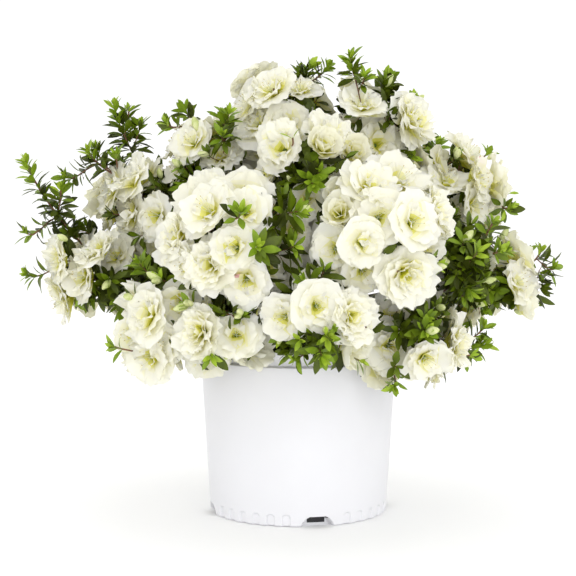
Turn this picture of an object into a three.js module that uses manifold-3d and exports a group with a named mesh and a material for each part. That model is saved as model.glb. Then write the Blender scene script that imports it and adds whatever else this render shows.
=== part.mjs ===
// An evergreen azalea shrub in full white bloom, growing in a white nursery pot.
// Sizes are in millimetres, +Z is up and -Y is the side that faces the viewer.
// The origin is the middle of the pot's flat underside.

import * as THREE from 'three';
import { mergeVertices } from 'three/addons/utils/BufferGeometryUtils.js';
import Module from 'manifold-3d';

const wasm = await Module();
wasm.setup();

// Clearance between separate pieces, the slivers that fusing leaves and is rid of, and how near
// two corners of a fused piece are made one
const GAP = 0.3;
const SLIVER = 0.2;
const WELD = 1e-3;

// How far a ring of a bent bar may lean from its chord before it is turned to face along it, as
// the cosine of that angle
const RING_LEAN = 0.3;

// The pot: a tapered wall, a set-in collar above its shoulder and a small rolled lip
const POT_HEIGHT = 212;
const FOOT_RADIUS = 110;
const SHOULDER_RADIUS = 121.5;
const SHOULDER_Z = 194;
const COLLAR_RADIUS = 115.6;
const LIP_RADIUS = 118;
const LIP_HEIGHT = 5.8;
const LIP_EDGE = 1;
const LIP_ROUND = 1.5;
const WALL = 2.5;
const FLOOR = 3;
const POT_FACETS = 36;

// Four drain notches, with shallow flutes between them, round the pot's foot
const NOTCHES = 4;
const NOTCH_BEARING = -78;
const NOTCH_FOOT_WIDTH = 37;
const NOTCH_TOP_WIDTH = 22;
const NOTCH_HEIGHT = 12;
const NOTCH_KNEE = 5.4;
const NOTCH_KNEE_IN = 2;
const NOTCH_DEPTH = 13;
const FLUTES_PER_SIDE = 6;
const FLUTE_FIRST = 20;
const FLUTE_PITCH = 10;
const FLUTE_WIDTH = 7;
const FLUTE_HEIGHT = 13;
const FLUTE_TAPER = 1;
const FLUTE_DEPTH = 1.4;
const CUT_BEYOND = 5;

// The soil, flat round the stem and a little lower at the wall
const SOIL_Z = 186;
const SOIL_EDGE_Z = 182;
const SOIL_FLAT_RADIUS = 40;

// The stem: short, leaning a little, with flared roots at the soil
const STEM_HEIGHT = 62;
const STEM_RADIUS = 11;
const STEM_TOP_RADIUS = 7.5;
const STEM_LEAN = [5, 4];
const FLARE_RADIUS = 10;
const FLARE_ROOTS = 5;

// The boughs: radius at the tip and its growth per millimetre of length, how much of its mass a
// bough stops short of, where it bends, and how much it arches, off the stem and off a bough
const LIMB_TIP_RADIUS = 2.6;
const LIMB_GROWTH = 0.0135;
const LIMB_SHORT = 0.7;
const LIMB_BEND = 0.42;
const STEM_LIFT = 0.32;
const FORK_LIFT = 0.12;
const LIMB_MARKS = 24;

// The dense heart of a mass and the short stem inside it, in parts of the mass's radius, and
// where along that stem twigs may start
const CORE_SHARE = 0.62;
const STEM_RISE = 0.15;
const STEM_TAPER = 0.7;
const STEM_FORKS = [0.3, 0.5, 0.75, 1];

// The twigs: thickness, where they are kinked and forked, how they leave the wood and meet their
// tips, and what turning back costs when the wood to start from is chosen
const TWIG_TIP_RADIUS = 0.7;
const TWIG_GROWTH = 0.009;
const TWIG_STEP = 50;
const TWIG_SHORTEST = 6;
const TWIG_BEND = 0.3;
const TWIG_FORKS = [0.45, 0.75];
const TWIG_CHECKS = [0.2, 0.4, 0.6, 0.8, 1];
const TWIG_KEEP = 0.4;
const TWIG_TRIES = 8;
const TURN_COST = 0.7;
const SHOOT_BARE = 0.25;
const SHOOT_LIFT = 0.64;

// The leaves, spread along the shoots and in a tuft at each tip
const LEAF_LENGTH = 42;
const LEAF_WIDTH = 14.5;
const LEAF_THICKNESS = 1.3;
const LEAF_SUNK = 0.5;
const LEAF_SHORTEST = 0.75;
const LEAF_TURN = 2.4;
const LEAF_TWIST = 1.1;
const LEAF_OPEN = [48, 66];
const LEAF_PITCH = 18;
const LEAF_SPACING = 14;
const TUFT_LEAVES = 4;
const TUFT_PITCH = 2.2;
const TUFT_OPEN = [35, 60];
const TUFT_SCALE = 0.85;

// The blooms: how many directions are tried, how close they stand, how far in from the outside
// of their mass, how steeply down, and how much of each is kept off the pot and the boughs
const BLOOM_RADIUS = [28, 37];
const BLOOM_TRIES = 90;
const BLOOM_SPACING = 0.785;
const BLOOM_INSET = 0.3;
const BLOOM_LIFT = 0.24;
const LOWEST_OUT = -0.75;
const LEAST_OUT = 0.3;
const POT_KEEP = 0.9;
const WOOD_KEEP = 0.7;
const LEAF_KEEP = 0.8;
const BLOOM_SEAT = 0.45;
const TUFT_SEAT = 0.7;
const WALL_TURNS = 8;
const WALL_NUDGE = 0.05;
const PETALS = 5;

// A bloom's shape, in parts of its radius: the depth that must stay in its space, how deep its
// funnel is, how far its throat stands above the rim, how its petals droop, how far out and up
// the ruffles between them reach, and how uneven it all is
const BLOOM_DEPTH = 0.3;
const FUNNEL = 0.5;
const THROAT = 0.02;
const PETAL_DROOP = -0.06;
const FRILL_OUT = 0.72;
const FRILL_UP = 0.2;
const RUFFLE = 0.08;

// The middle of the crown, which every bloom turns away from
const HEART = new THREE.Vector3(0, 20, 310);

// The space round the pot that foliage keeps out of
const POT_MARGIN = 5;
const POT_CLEAR_RADIUS = SHOULDER_RADIUS + POT_MARGIN;
const POT_CLEAR_Z = POT_HEIGHT + POT_MARGIN;

// Each mass of foliage: the middle of its space, how far out its blooms stand, the limb that
// its own bough grows from and how far along, the share of its tips that bloom, and its long
// leafy shoots, each as bearing and rise in degrees and reach in millimetres from the middle.
const masses = [
  { name: 'top_centre', middle: [-18, 5, 484], radius: 74, from: 'stem', along: 0.97, bloom: 0.9,
    shoots: [[-102, 34, 72], [-4, 52, 86], [68, 49, 78]] },
  { name: 'far_left', middle: [-250, -5, 304], radius: 70, from: 'stem', along: 0.62, bloom: 0.8,
    shoots: [[-172, 57, 158], [-165, 27, 96], [-150, 64, 108], [-155, -4, 88]] },
  { name: 'centre_right', middle: [88, -138, 350], radius: 92, from: 'stem', along: 0.6, bloom: 0.95,
    shoots: [[-74, -21, 90]] },
  { name: 'back_top', middle: [-25, 118, 420], radius: 90, from: 'stem', along: 0.7, bloom: 0.8,
    shoots: [[80, 60, 124], [140, 35, 120]] },
  { name: 'left_low', middle: [-142, -94, 252], radius: 84, from: 'stem', along: 0.36, bloom: 0.95,
    shoots: [[-152, -20, 90]] },
  { name: 'right_low', middle: [130, -108, 228], radius: 72, from: 'stem', along: 0.3, bloom: 0.75,
    shoots: [[22, -7, 103], [-2, -15, 76], [-114, -47, 70]] },
  { name: 'back_right', middle: [118, 108, 365], radius: 88, from: 'stem', along: 0.66, bloom: 0.8,
    shoots: [[40, 45, 128], [75, 20, 116]] },
  { name: 'back_low', middle: [-10, 168, 268], radius: 88, from: 'stem', along: 0.42, bloom: 0.8,
    shoots: [[110, 10, 112], [70, 5, 108]] },
  { name: 'left_upper', middle: [-188, 8, 376], radius: 74, from: 'far_left', along: 0.42, bloom: 0.85,
    shoots: [[-160, 44, 104], [146, 68, 138], [-165, 22, 108]] },
  { name: 'top_left', middle: [-108, -8, 436], radius: 66, from: 'top_centre', along: 0.35, bloom: 0.8,
    shoots: [[139, 56, 78], [-166, 40, 70], [-66, 45, 81]] },
  { name: 'centre_left', middle: [-66, -145, 340], radius: 92, from: 'left_low', along: 0.3,
    bloom: 0.95, shoots: [[-90, 27, 94]] },
  { name: 'centre', middle: [22, -92, 414], radius: 78, from: 'centre_right', along: 0.5, bloom: 0.9,
    shoots: [[-122, 43, 76], [-170, 44, 81]] },
  { name: 'top_right', middle: [86, 0, 464], radius: 79, from: 'back_right', along: 0.4, bloom: 0.9,
    shoots: [[-115, 60, 112], [40, 66, 82], [0, 40, 72]] },
  { name: 'right_upper', middle: [194, 0, 396], radius: 64, from: 'back_right', along: 0.55,
    bloom: 0.85, shoots: [[22, 48, 66], [0, 0, 66], [-37, -12, 77]] },
  { name: 'mid_right', middle: [170, -62, 316], radius: 74, from: 'right_low', along: 0.3, bloom: 0.4,
    shoots: [[-7, 10, 80], [-59, 12, 78], [-30, 35, 84]] },
  { name: 'far_right', middle: [262, -8, 285], radius: 50, from: 'mid_right', along: 0.45, bloom: 0.6,
    shoots: [[13, 43, 54], [-13, 19, 56], [59, 37, 58]] },
  { name: 'front_low', middle: [26, -186, 266], radius: 70, from: 'right_low', along: 0.45, bloom: 0.4,
    shoots: [[-135, -51, 62], [-16, -50, 68], [-86, -17, 66], [-39, -10, 64]] },
  { name: 'front_low_left', middle: [-84, -164, 258], radius: 60, from: 'left_low', along: 0.55,
    bloom: 0.85, shoots: [[-107, -33, 66]] },
  { name: 'back_left', middle: [-152, 108, 325], radius: 90, from: 'back_low', along: 0.4, bloom: 0.8,
    shoots: [[140, 25, 118], [170, 45, 112]] },
  { name: 'back_far_right', middle: [194, 90, 280], radius: 68, from: 'back_low', along: 0.3,
    bloom: 0.75, shoots: [[20, 20, 100], [45, 40, 96]] },
];

const radians = THREE.MathUtils.degToRad;
const vector = (x, y, z) => new THREE.Vector3(x, y, z);
const UP = vector(0, 0, 1);

// Seeded numbers, so that the shrub grows the same each time
class Dice {
  constructor(seed) {
    this.state = seed;
  }

  next() {
    this.state = (this.state * 16807) % 2147483647;
    return this.state / 2147483647;
  }

  between(low, high) {
    return low + (high - low) * this.next();
  }
}

// A closed geometry as a solid: shared corners merged, flat leftovers of its poles dropped
function solidOf(geometry, weld = 1e-5) {
  geometry.deleteAttribute('normal');
  geometry.deleteAttribute('uv');
  const merged = mergeVertices(geometry, weld);
  const corners = merged.index.array;
  const faces = [];
  for (let f = 0; f < corners.length; f += 3) {
    const [a, b, c] = [corners[f], corners[f + 1], corners[f + 2]];
    if (a !== b && b !== c && c !== a) {
      faces.push(a, b, c);
    }
  }
  return new wasm.Manifold(new wasm.Mesh({
    numProp: 3,
    vertProperties: Float32Array.from(merged.attributes.position.array),
    triVerts: Uint32Array.from(faces),
  }));
}

// The faces of a solid as a geometry
function geometryOf(solid) {
  const { vertProperties, triVerts } = solid.getMesh();
  const geometry = new THREE.BufferGeometry();
  geometry.setAttribute('position', new THREE.BufferAttribute(vertProperties, 3));
  geometry.setIndex(new THREE.BufferAttribute(triVerts, 1));
  geometry.computeVertexNormals();
  return geometry;
}

// A finished solid as a named mesh
function meshOf(name, solid, material) {
  const mesh = new THREE.Mesh(geometryOf(solid), material);
  mesh.name = name;
  return mesh;
}

// The largest body of a solid, with its sealed hollows filled and loose scraps dropped
function wholeBody(solid) {
  return solid.decompose().reduce((a, b) => (a.volume() > b.volume() ? a : b));
}

// Many solids fused into one, with its slivers closed up
function fused(solids) {
  const joined = wholeBody(wasm.Manifold.union(solids).simplify(SLIVER));
  return wholeBody(solidOf(geometryOf(joined), WELD));
}

function plastic(color) {
  return new THREE.MeshStandardMaterial({ color, roughness: 0.35, metalness: 0 });
}

function natural(color, roughness) {
  return new THREE.MeshStandardMaterial({ color, roughness, metalness: 0 });
}

// A profile of [radius, height] pairs turned about the upright axis, with a flat facet at each
// notch and flute
function turned(profile) {
  const points = profile.map(([radius, height]) => new THREE.Vector2(radius, height));
  const firstCorner = radians(NOTCH_BEARING + 90 - 180 / POT_FACETS);
  return solidOf(new THREE.LatheGeometry(points, POT_FACETS, firstCorner).rotateX(Math.PI / 2));
}

// An upright outline of [across, height] pairs run outward at a bearing between two radii
function outwardBlock(outline, bearing, inner, outer) {
  const shape = new THREE.Shape(outline.map(([across, height]) => new THREE.Vector2(across, height)));
  const block = new THREE.ExtrudeGeometry(shape, { depth: outer - inner, bevelEnabled: false });
  block.translate(0, 0, inner);
  block.rotateX(Math.PI / 2);
  block.rotateZ(radians(bearing + 90));
  return solidOf(block);
}

// Drain notches

function notchCutters() {
  const outline = [
    [-NOTCH_FOOT_WIDTH / 2, -1],
    [NOTCH_FOOT_WIDTH / 2, -1],
    [NOTCH_FOOT_WIDTH / 2 - NOTCH_KNEE_IN, NOTCH_KNEE],
    [NOTCH_TOP_WIDTH / 2, NOTCH_HEIGHT],
    [-NOTCH_TOP_WIDTH / 2, NOTCH_HEIGHT],
    [-NOTCH_FOOT_WIDTH / 2 + NOTCH_KNEE_IN, NOTCH_KNEE],
  ];
  const cutters = [];
  for (let n = 0; n < NOTCHES; n += 1) {
    const bearing = NOTCH_BEARING + (n * 360) / NOTCHES;
    const inner = FOOT_RADIUS - NOTCH_DEPTH;
    cutters.push(outwardBlock(outline, bearing, inner, FOOT_RADIUS + CUT_BEYOND));
  }
  return cutters;
}

// Flutes: shallow upright grooves

function fluteCutters() {
  const half = FLUTE_WIDTH / 2;
  const top = half - FLUTE_TAPER;
  const outline = [[-half, -1], [half, -1], [top, FLUTE_HEIGHT], [-top, FLUTE_HEIGHT]];
  const cutters = [];
  for (let n = 0; n < NOTCHES; n += 1) {
    for (let f = 0; f < FLUTES_PER_SIDE; f += 1) {
      const bearing = NOTCH_BEARING + (n * 360) / NOTCHES + FLUTE_FIRST + f * FLUTE_PITCH;
      const inner = FOOT_RADIUS - FLUTE_DEPTH;
      cutters.push(outwardBlock(outline, bearing, inner, FOOT_RADIUS + CUT_BEYOND));
    }
  }
  return cutters;
}

// Pot

function pot() {
  const lipZ = POT_HEIGHT - LIP_HEIGHT;
  const innerShoulder = SHOULDER_RADIUS - WALL;
  const wall = turned([
    [0, 0],
    [FOOT_RADIUS, 0],
    [SHOULDER_RADIUS, SHOULDER_Z],
    [COLLAR_RADIUS, SHOULDER_Z + LIP_ROUND],
    [COLLAR_RADIUS, lipZ],
    [LIP_RADIUS, lipZ + LIP_EDGE],
    [LIP_RADIUS, POT_HEIGHT - LIP_EDGE],
    [LIP_RADIUS - LIP_ROUND, POT_HEIGHT],
    [COLLAR_RADIUS - WALL, POT_HEIGHT],
    [COLLAR_RADIUS - WALL, SHOULDER_Z + LIP_EDGE],
    [innerShoulder, SHOULDER_Z - WALL],
    [FOOT_RADIUS - WALL, FLOOR],
    [0, FLOOR],
  ]);
  return [...notchCutters(), ...fluteCutters()].reduce((body, cutter) => body.subtract(cutter), wall);
}

// Soil

function soil() {
  const innerShoulder = SHOULDER_RADIUS - WALL;
  const innerFoot = FOOT_RADIUS - WALL;
  const spread = (innerShoulder - innerFoot) / (SHOULDER_Z - WALL - FLOOR);
  const edgeRadius = innerFoot + spread * (SOIL_EDGE_Z - FLOOR) - GAP;
  const body = turned([
    [0, FLOOR + GAP],
    [innerFoot - GAP, FLOOR + GAP],
    [edgeRadius, SOIL_EDGE_Z],
    [SOIL_FLAT_RADIUS, SOIL_Z],
    [0, SOIL_Z],
  ]);
  return notchCutters().reduce((cut, cutter) => cut.subtract(cutter), body);
}

// A bar bent along a curve, with a radius that changes along it and round it, and grown on all
// sides by a clearance
function bentBar(curve, radiusAt, sides, steps, clearance = 0) {
  const bar = new THREE.CylinderGeometry(1, 1, 1, sides, steps);
  const joints = curve.getPoints(steps);
  const rings = [];
  let across = null;
  for (let s = 0; s <= steps; s += 1) {
    const chord = joints[Math.min(s + 1, steps)].clone().sub(joints[Math.max(s - 1, 0)]).normalize();
    const tangent = curve.getTangent(s / steps);
    const along = tangent.dot(chord) < RING_LEAN ? chord : tangent;
    if (across === null) {
      across = Math.abs(along.z) < 0.9 ? UP.clone().cross(along) : vector(1, 0, 0);
    }
    across = across.clone().addScaledVector(along, -across.dot(along)).normalize();
    const centre = joints[s].clone();
    if (s === 0) {
      centre.addScaledVector(along, -clearance);
    }
    if (s === steps) {
      centre.addScaledVector(along, clearance);
    }
    rings.push({ centre, across, over: along.clone().cross(across) });
  }
  const places = bar.attributes.position;
  for (let p = 0; p < places.count; p += 1) {
    const [x, y, z] = [places.getX(p), places.getY(p), places.getZ(p)];
    const ring = rings[Math.round((y + 0.5) * steps)];
    const onAxis = Math.hypot(x, z) < 1e-6;
    const angle = Math.atan2(x, z);
    const radius = onAxis ? 0 : radiusAt(y + 0.5, angle) + clearance;
    const place = ring.centre.clone();
    place.addScaledVector(ring.across, radius * Math.cos(angle));
    place.addScaledVector(ring.over, radius * Math.sin(angle));
    places.setXYZ(p, place.x, place.y, place.z);
  }
  return solidOf(bar);
}

// Stem: its own centre line, its radius, and its solid grown outward by a clearance

const stemFoot = vector(0, 0, SOIL_Z + GAP);
const stemTop = vector(STEM_LEAN[0], STEM_LEAN[1], SOIL_Z + STEM_HEIGHT);
const stemLine = new THREE.QuadraticBezierCurve3(
  stemFoot,
  vector(0, 0, SOIL_Z + STEM_HEIGHT * 0.5),
  stemTop,
);

function stemRadius(t, angle) {
  const flare = FLARE_RADIUS * Math.exp(-7 * t);
  const trunk = STEM_RADIUS + (STEM_TOP_RADIUS - STEM_RADIUS) * t;
  return trunk + flare * (0.65 + 0.35 * Math.cos(FLARE_ROOTS * angle));
}

function stem(clearance) {
  return bentBar(stemLine, stemRadius, 10, 5, clearance);
}

// Limbs: one tapering bough for each mass, from the stem or from an earlier bough

const limbs = { stem: { line: stemLine, radiusAt: stemRadius } };

function limbFor(mass) {
  const parent = limbs[mass.from];
  const root = parent.line.getPoint(mass.along);
  const middle = vector(...mass.middle);
  const whole = middle.clone().sub(root);
  const length = whole.length() - mass.radius * LIMB_SHORT;
  const tip = root.clone().addScaledVector(whole, length / whole.length());
  const level = 1 - whole.z / whole.length();
  const lift = mass.from === 'stem' ? STEM_LIFT : FORK_LIFT;
  const bend = root.clone().lerp(tip, LIMB_BEND).addScaledVector(UP, length * lift * level);
  const line = new THREE.QuadraticBezierCurve3(root, bend, tip);
  const rootRadius = LIMB_TIP_RADIUS + length * LIMB_GROWTH;
  const radiusAt = (t) => rootRadius + (LIMB_TIP_RADIUS - rootRadius) * t;
  return { line, radiusAt };
}

// Even marks along a limb
function marksOn(limb) {
  return limb.line.getPoints(LIMB_MARKS);
}

// Whether a bough of another mass runs through the dense heart of this one
function nearCore(mass, limb) {
  const middle = vector(...mass.middle);
  const reach = mass.radius * CORE_SHARE + LIMB_TIP_RADIUS;
  return limb !== limbs.stem && marksOn(limb).some((place) => place.distanceTo(middle) < reach);
}

function limbSolid(limb, clearance) {
  return bentBar(limb.line, limb.radiusAt, 5, 4, clearance);
}

// Spaces: flat walls half way, by size, between each mass and the others

function wallsOf(mass) {
  const middle = vector(...mass.middle);
  const walls = [];
  for (const other of masses) {
    if (other !== mass) {
      const across = vector(...other.middle).sub(middle);
      const distance = across.length();
      const reach = (distance ** 2 + mass.radius ** 2 - other.radius ** 2) / (2 * distance);
      walls.push({ normal: across.divideScalar(distance), reach: reach - GAP / 2 });
    }
  }
  return walls;
}

// How far a ball at a place would stick out through a wall
function beyondWall(mass, wall, place, size) {
  const offset = place.clone().sub(vector(...mass.middle));
  return offset.dot(wall.normal) + size - wall.reach;
}

function insideSpace(mass, place, size) {
  return mass.walls.every((wall) => beyondWall(mass, wall, place, size) < 0);
}

// Points along every limb, for keeping foliage clear of the wood
const woodPoints = [];

function clearOfWood(place, size) {
  return woodPoints.every((wood) => wood.place.distanceTo(place) > wood.radius + size + GAP);
}

function clearOfPot(place, size) {
  return Math.hypot(place.x, place.y) > POT_CLEAR_RADIUS + size || place.z > POT_CLEAR_Z + size;
}

function fits(mass, place, size) {
  return insideSpace(mass, place, size) && clearOfWood(place, size) && clearOfPot(place, size);
}

// How far a bloom's disc reaches towards a wall
function bloomReach(facing, radius, wall) {
  const tilt = facing.dot(wall.normal);
  return radius * (Math.sqrt(Math.max(0, 1 - tilt * tilt)) + BLOOM_DEPTH * Math.abs(tilt));
}

// The dense heart of a mass: a low ball drawn in to keep to its space and clear of the pot
function coreSolid(mass) {
  const core = new THREE.IcosahedronGeometry(1, 0);
  const middle = vector(...mass.middle);
  const places = core.attributes.position;
  for (let p = 0; p < places.count; p += 1) {
    const out = vector(places.getX(p), places.getY(p), places.getZ(p)).normalize();
    let reach = mass.radius * CORE_SHARE;
    for (const wall of mass.walls) {
      const towards = out.dot(wall.normal);
      if (towards > 0) {
        reach = Math.min(reach, wall.reach / towards);
      }
    }
    const place = middle.clone().addScaledVector(out, reach);
    while (!clearOfPot(place, 0)) {
      place.lerp(middle, 0.1);
    }
    places.setXYZ(p, place.x, place.y, place.z);
  }
  return solidOf(core);
}

// Even directions all round, from the top down
function direction(k, count, dice) {
  const height = 1 - ((k + 0.5) * 2) / count + dice.between(-0.03, 0.03);
  const turn = k * Math.PI * (3 - Math.sqrt(5)) + dice.between(-0.15, 0.15);
  const level = Math.sqrt(Math.max(0, 1 - height * height));
  return vector(level * Math.cos(turn), level * Math.sin(turn), height).normalize();
}

// Places for a mass's blooms and leaf tufts, on the outside of its space
function tipsOf(mass) {
  const dice = new Dice(mass.seed);
  const middle = vector(...mass.middle);
  const tips = [];
  for (let k = 0; k < BLOOM_TRIES; k += 1) {
    const out = direction(k, BLOOM_TRIES, dice);
    const radius = dice.between(...BLOOM_RADIUS);
    const blooms = dice.next() < mass.bloom;
    const place = middle.clone().addScaledVector(out, mass.radius - BLOOM_INSET * radius);
    const away = place.clone().sub(HEART).normalize();
    const facing = out.clone().add(away).addScaledVector(UP, BLOOM_LIFT).normalize();
    for (let turn = 0; turn < WALL_TURNS; turn += 1) {
      for (const wall of mass.walls) {
        const over = beyondWall(mass, wall, place, bloomReach(facing, radius, wall));
        if (over > 0) {
          place.addScaledVector(wall.normal, -over - WALL_NUDGE);
        }
      }
    }
    const inSpace = mass.walls.every(
      (wall) => beyondWall(mass, wall, place, bloomReach(facing, radius, wall)) < 0,
    );
    const outside = place.clone().sub(middle).dot(out) > mass.radius * LEAST_OUT;
    const shows = place.clone().sub(HEART).dot(facing) > 0;
    const spaced = tips.every(
      (tip) => tip.place.distanceTo(place) > BLOOM_SPACING * (tip.radius + radius),
    );
    const clear = clearOfPot(place, radius * POT_KEEP) && clearOfWood(place, radius * WOOD_KEEP);
    if (inSpace && outside && shows && spaced && clear && out.z > LOWEST_OUT) {
      tips.push({ place, facing, radius, blooms });
    }
  }
  return tips;
}

// One bloom: a twenty-faced funnel, whose lower ring is drawn out into petals, with the ruffled
// edges between them raised above a sunk throat
function bloomSolid(tip, dice) {
  const bloom = new THREE.IcosahedronGeometry(1, 0);
  bloom.rotateX(Math.atan(2 / (1 + Math.sqrt(5))) - Math.PI / 2);
  const ruffle = Array.from({ length: PETALS * 2 }, () => dice.between(-RUFFLE, RUFFLE));
  const places = bloom.attributes.position;
  for (let p = 0; p < places.count; p += 1) {
    const [x, y, z] = [places.getX(p), places.getY(p), places.getZ(p)];
    const out = Math.hypot(x, z);
    if (out < 0.01) {
      places.setXYZ(p, 0, y > 0 ? THROAT : -FUNNEL, 0);
    } else {
      const turn = Math.round((Math.atan2(x, z) / Math.PI) * PETALS + PETALS);
      const wave = ruffle[turn % (PETALS * 2)];
      const reach = (y > 0 ? FRILL_OUT : 1) + wave;
      places.setXYZ(p, (x / out) * reach, (y > 0 ? FRILL_UP : PETAL_DROOP) + wave, (z / out) * reach);
    }
  }
  bloom.scale(tip.radius, tip.radius, tip.radius);
  bloom.applyQuaternion(new THREE.Quaternion().setFromUnitVectors(vector(0, 1, 0), tip.facing));
  bloom.translate(tip.place.x, tip.place.y, tip.place.z);
  return solidOf(bloom);
}

// One leaf: a thin eight-faced blade, widest past its middle
function leafSolid(leaf) {
  const blade = new THREE.OctahedronGeometry(1, 0);
  blade.scale(leaf.length / 2, (LEAF_WIDTH * leaf.length) / LEAF_LENGTH / 2, LEAF_THICKNESS / 2);
  const side = leaf.along.clone().cross(leaf.face).normalize();
  const over = side.clone().cross(leaf.along).normalize();
  const frame = new THREE.Matrix4().makeBasis(leaf.along, side.negate(), over);
  const centre = leaf.root.clone().addScaledVector(leaf.along, leaf.length / 2);
  blade.applyMatrix4(frame.setPosition(centre));
  return solidOf(blade);
}

// Thin wood of a few straight lengths along a line, and any place, heading and radius on it
function woodAlong(line, steps, rootRadius, tipRadius, length) {
  const joints = line.getPoints(steps);
  const radiusAt = (t) => rootRadius + (tipRadius - rootRadius) * t;
  const at = (t) => {
    const s = Math.min(steps - 1, Math.floor(t * steps));
    const place = joints[s].clone().lerp(joints[s + 1], t * steps - s);
    const along = joints[s + 1].clone().sub(joints[s]).normalize();
    return { place, along, radius: radiusAt(t) };
  };
  return { line, steps, radiusAt, at, length };
}

// A twig from a place on earlier wood to a tip, kept clear of the limbs
function twigTo(mass, growth, end, facing) {
  const choices = growth.nodes.map((node) => {
    const way = end.clone().sub(node.place);
    const length = way.length();
    const turnBack = 1 - way.dot(node.along) / Math.max(length, 1e-6);
    return { node, length, cost: length * (1 + TURN_COST * turnBack) };
  });
  choices.sort((a, b) => a.cost - b.cost);
  for (const { node, length } of choices.slice(0, TWIG_TRIES)) {
    const bend = node.place.clone().addScaledVector(node.along, length * TWIG_BEND);
    const near = end.clone().addScaledVector(facing, -length * TWIG_BEND);
    const line = new THREE.CubicBezierCurve3(node.place, bend, near, end);
    const steps = 1 + Math.min(2, Math.floor(length / TWIG_STEP));
    const root = Math.min(node.radius / 2, TWIG_TIP_RADIUS + length * TWIG_GROWTH);
    const twig = woodAlong(line, steps, root, TWIG_TIP_RADIUS, length);
    const free = TWIG_CHECKS.every((t) => {
      const { place, radius } = twig.at(t);
      return fits(mass, place, radius + TWIG_KEEP);
    });
    if (length > TWIG_SHORTEST && free) {
      growth.nodes.push(...TWIG_FORKS.map(twig.at));
      return twig;
    }
  }
  return null;
}

function twigSolid(twig) {
  return bentBar(twig.line, twig.radiusAt, 3, twig.steps);
}

// Leaves in a spiral, from part of the way along a twig to a close tuft at its tip
function leavesAlong(mass, twig, first, spaced, tuft, taken, dice) {
  const leaves = [];
  const tuftStart = 1 - (tuft * TUFT_PITCH) / twig.length;
  for (let n = 0; n < spaced + tuft; n += 1) {
    const inTuft = n >= spaced;
    const t = inTuft
      ? tuftStart + ((n - spaced + 0.5) * TUFT_PITCH) / twig.length
      : first + ((tuftStart - first) * (n + 0.5)) / spaced;
    const { place, along } = twig.at(t);
    const flat = (Math.abs(along.z) < 0.9 ? UP.clone() : vector(1, 0, 0)).cross(along).normalize();
    const turn = inTuft ? ((n - spaced) / tuft) * Math.PI * 2 : n * LEAF_TURN;
    const out = flat.applyAxisAngle(along, turn + dice.between(-0.3, 0.3));
    const open = radians(dice.between(...(inTuft ? TUFT_OPEN : LEAF_OPEN)));
    const way = along.clone().multiplyScalar(Math.cos(open)).addScaledVector(out, Math.sin(open));
    const length = LEAF_LENGTH * dice.between(LEAF_SHORTEST, 1) * (inTuft ? TUFT_SCALE : 1);
    const twist = dice.between(-LEAF_TWIST, LEAF_TWIST);
    const face = along.clone().applyAxisAngle(way, twist);
    const root = place.addScaledVector(way, -LEAF_SUNK);
    const end = root.clone().addScaledVector(way, length);
    const belly = root.clone().addScaledVector(way, length / 2);
    const width = (LEAF_WIDTH * length) / LEAF_LENGTH / 2;
    const free = taken.every(
      (other) => other.place.distanceTo(belly) > other.size && other.place.distanceTo(end) > other.size,
    );
    if (free && fits(mass, end, 1) && fits(mass, belly, width)) {
      leaves.push({ root, along: way, face, length });
      taken.push({ place: belly, size: LEAF_SPACING });
    }
  }
  return leaves;
}

// A whole mass: its stem, then twigs to its blooms and tufts, then its long shoots
function growMass(mass) {
  const dice = new Dice(mass.seed + 1000);
  const limb = limbs[mass.name];
  const inward = limb.line.getTangent(1);
  const start = limb.line.getPoint(1).addScaledVector(inward, GAP);
  const middle = vector(...mass.middle);
  const rise = mass.radius * STEM_RISE;
  const reach = middle.distanceTo(start) + rise;
  const bend = start.clone().addScaledVector(inward, reach / 2);
  const end = middle.clone().addScaledVector(UP, rise);
  const line = new THREE.QuadraticBezierCurve3(start, bend, end);
  const stemWood = woodAlong(line, 2, LIMB_TIP_RADIUS, LIMB_TIP_RADIUS * STEM_TAPER, reach);
  const growth = { nodes: STEM_FORKS.map(stemWood.at) };
  const grown = { stem: stemWood, twigs: [], blooms: [], leaves: [] };
  const taken = [];
  const tufts = [];
  const tips = tipsOf(mass);
  tips.sort((a, b) => a.place.distanceTo(end) - b.place.distanceTo(end));
  for (const tip of tips) {
    const depth = tip.blooms ? BLOOM_SEAT : TUFT_SEAT;
    const back = tip.place.clone().addScaledVector(tip.facing, -tip.radius * depth);
    const twig = twigTo(mass, growth, back, tip.facing);
    if (twig !== null) {
      grown.twigs.push(twig);
      if (tip.blooms) {
        grown.blooms.push(tip);
        taken.push({ place: tip.place, size: tip.radius * LEAF_KEEP });
      } else {
        tufts.push(twig);
      }
    }
  }
  for (const twig of tufts) {
    grown.leaves.push(...leavesAlong(mass, twig, 0, 0, TUFT_LEAVES, taken, dice));
  }
  for (const [bearing, rise, length] of mass.shoots) {
    const level = Math.cos(radians(rise));
    const way = vector(
      level * Math.cos(radians(bearing)),
      level * Math.sin(radians(bearing)),
      Math.sin(radians(rise)),
    );
    const tip = middle.clone().addScaledVector(way, length);
    const facing = way.clone().addScaledVector(UP, SHOOT_LIFT).normalize();
    const twig = twigTo(mass, growth, tip, facing);
    if (twig !== null) {
      grown.twigs.push(twig);
      const count = Math.round((twig.length * (1 - SHOOT_BARE)) / LEAF_PITCH);
      grown.leaves.push(...leavesAlong(mass, twig, SHOOT_BARE, count, TUFT_LEAVES, taken, dice));
    }
  }
  return grown;
}

function massSolid(mass, grown, dice) {
  const solids = [bentBar(grown.stem.line, grown.stem.radiusAt, 4, grown.stem.steps), coreSolid(mass)];
  grown.twigs.forEach((twig) => solids.push(twigSolid(twig)));
  grown.blooms.forEach((tip) => solids.push(bloomSolid(tip, dice)));
  grown.leaves.forEach((leaf) => solids.push(leafSolid(leaf)));
  const near = Object.values(limbs).filter((limb) => nearCore(mass, limb));
  return fused([near.reduce((body, limb) => body.subtract(limbSolid(limb, GAP)), fused(solids))]);
}

// Put together

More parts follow.
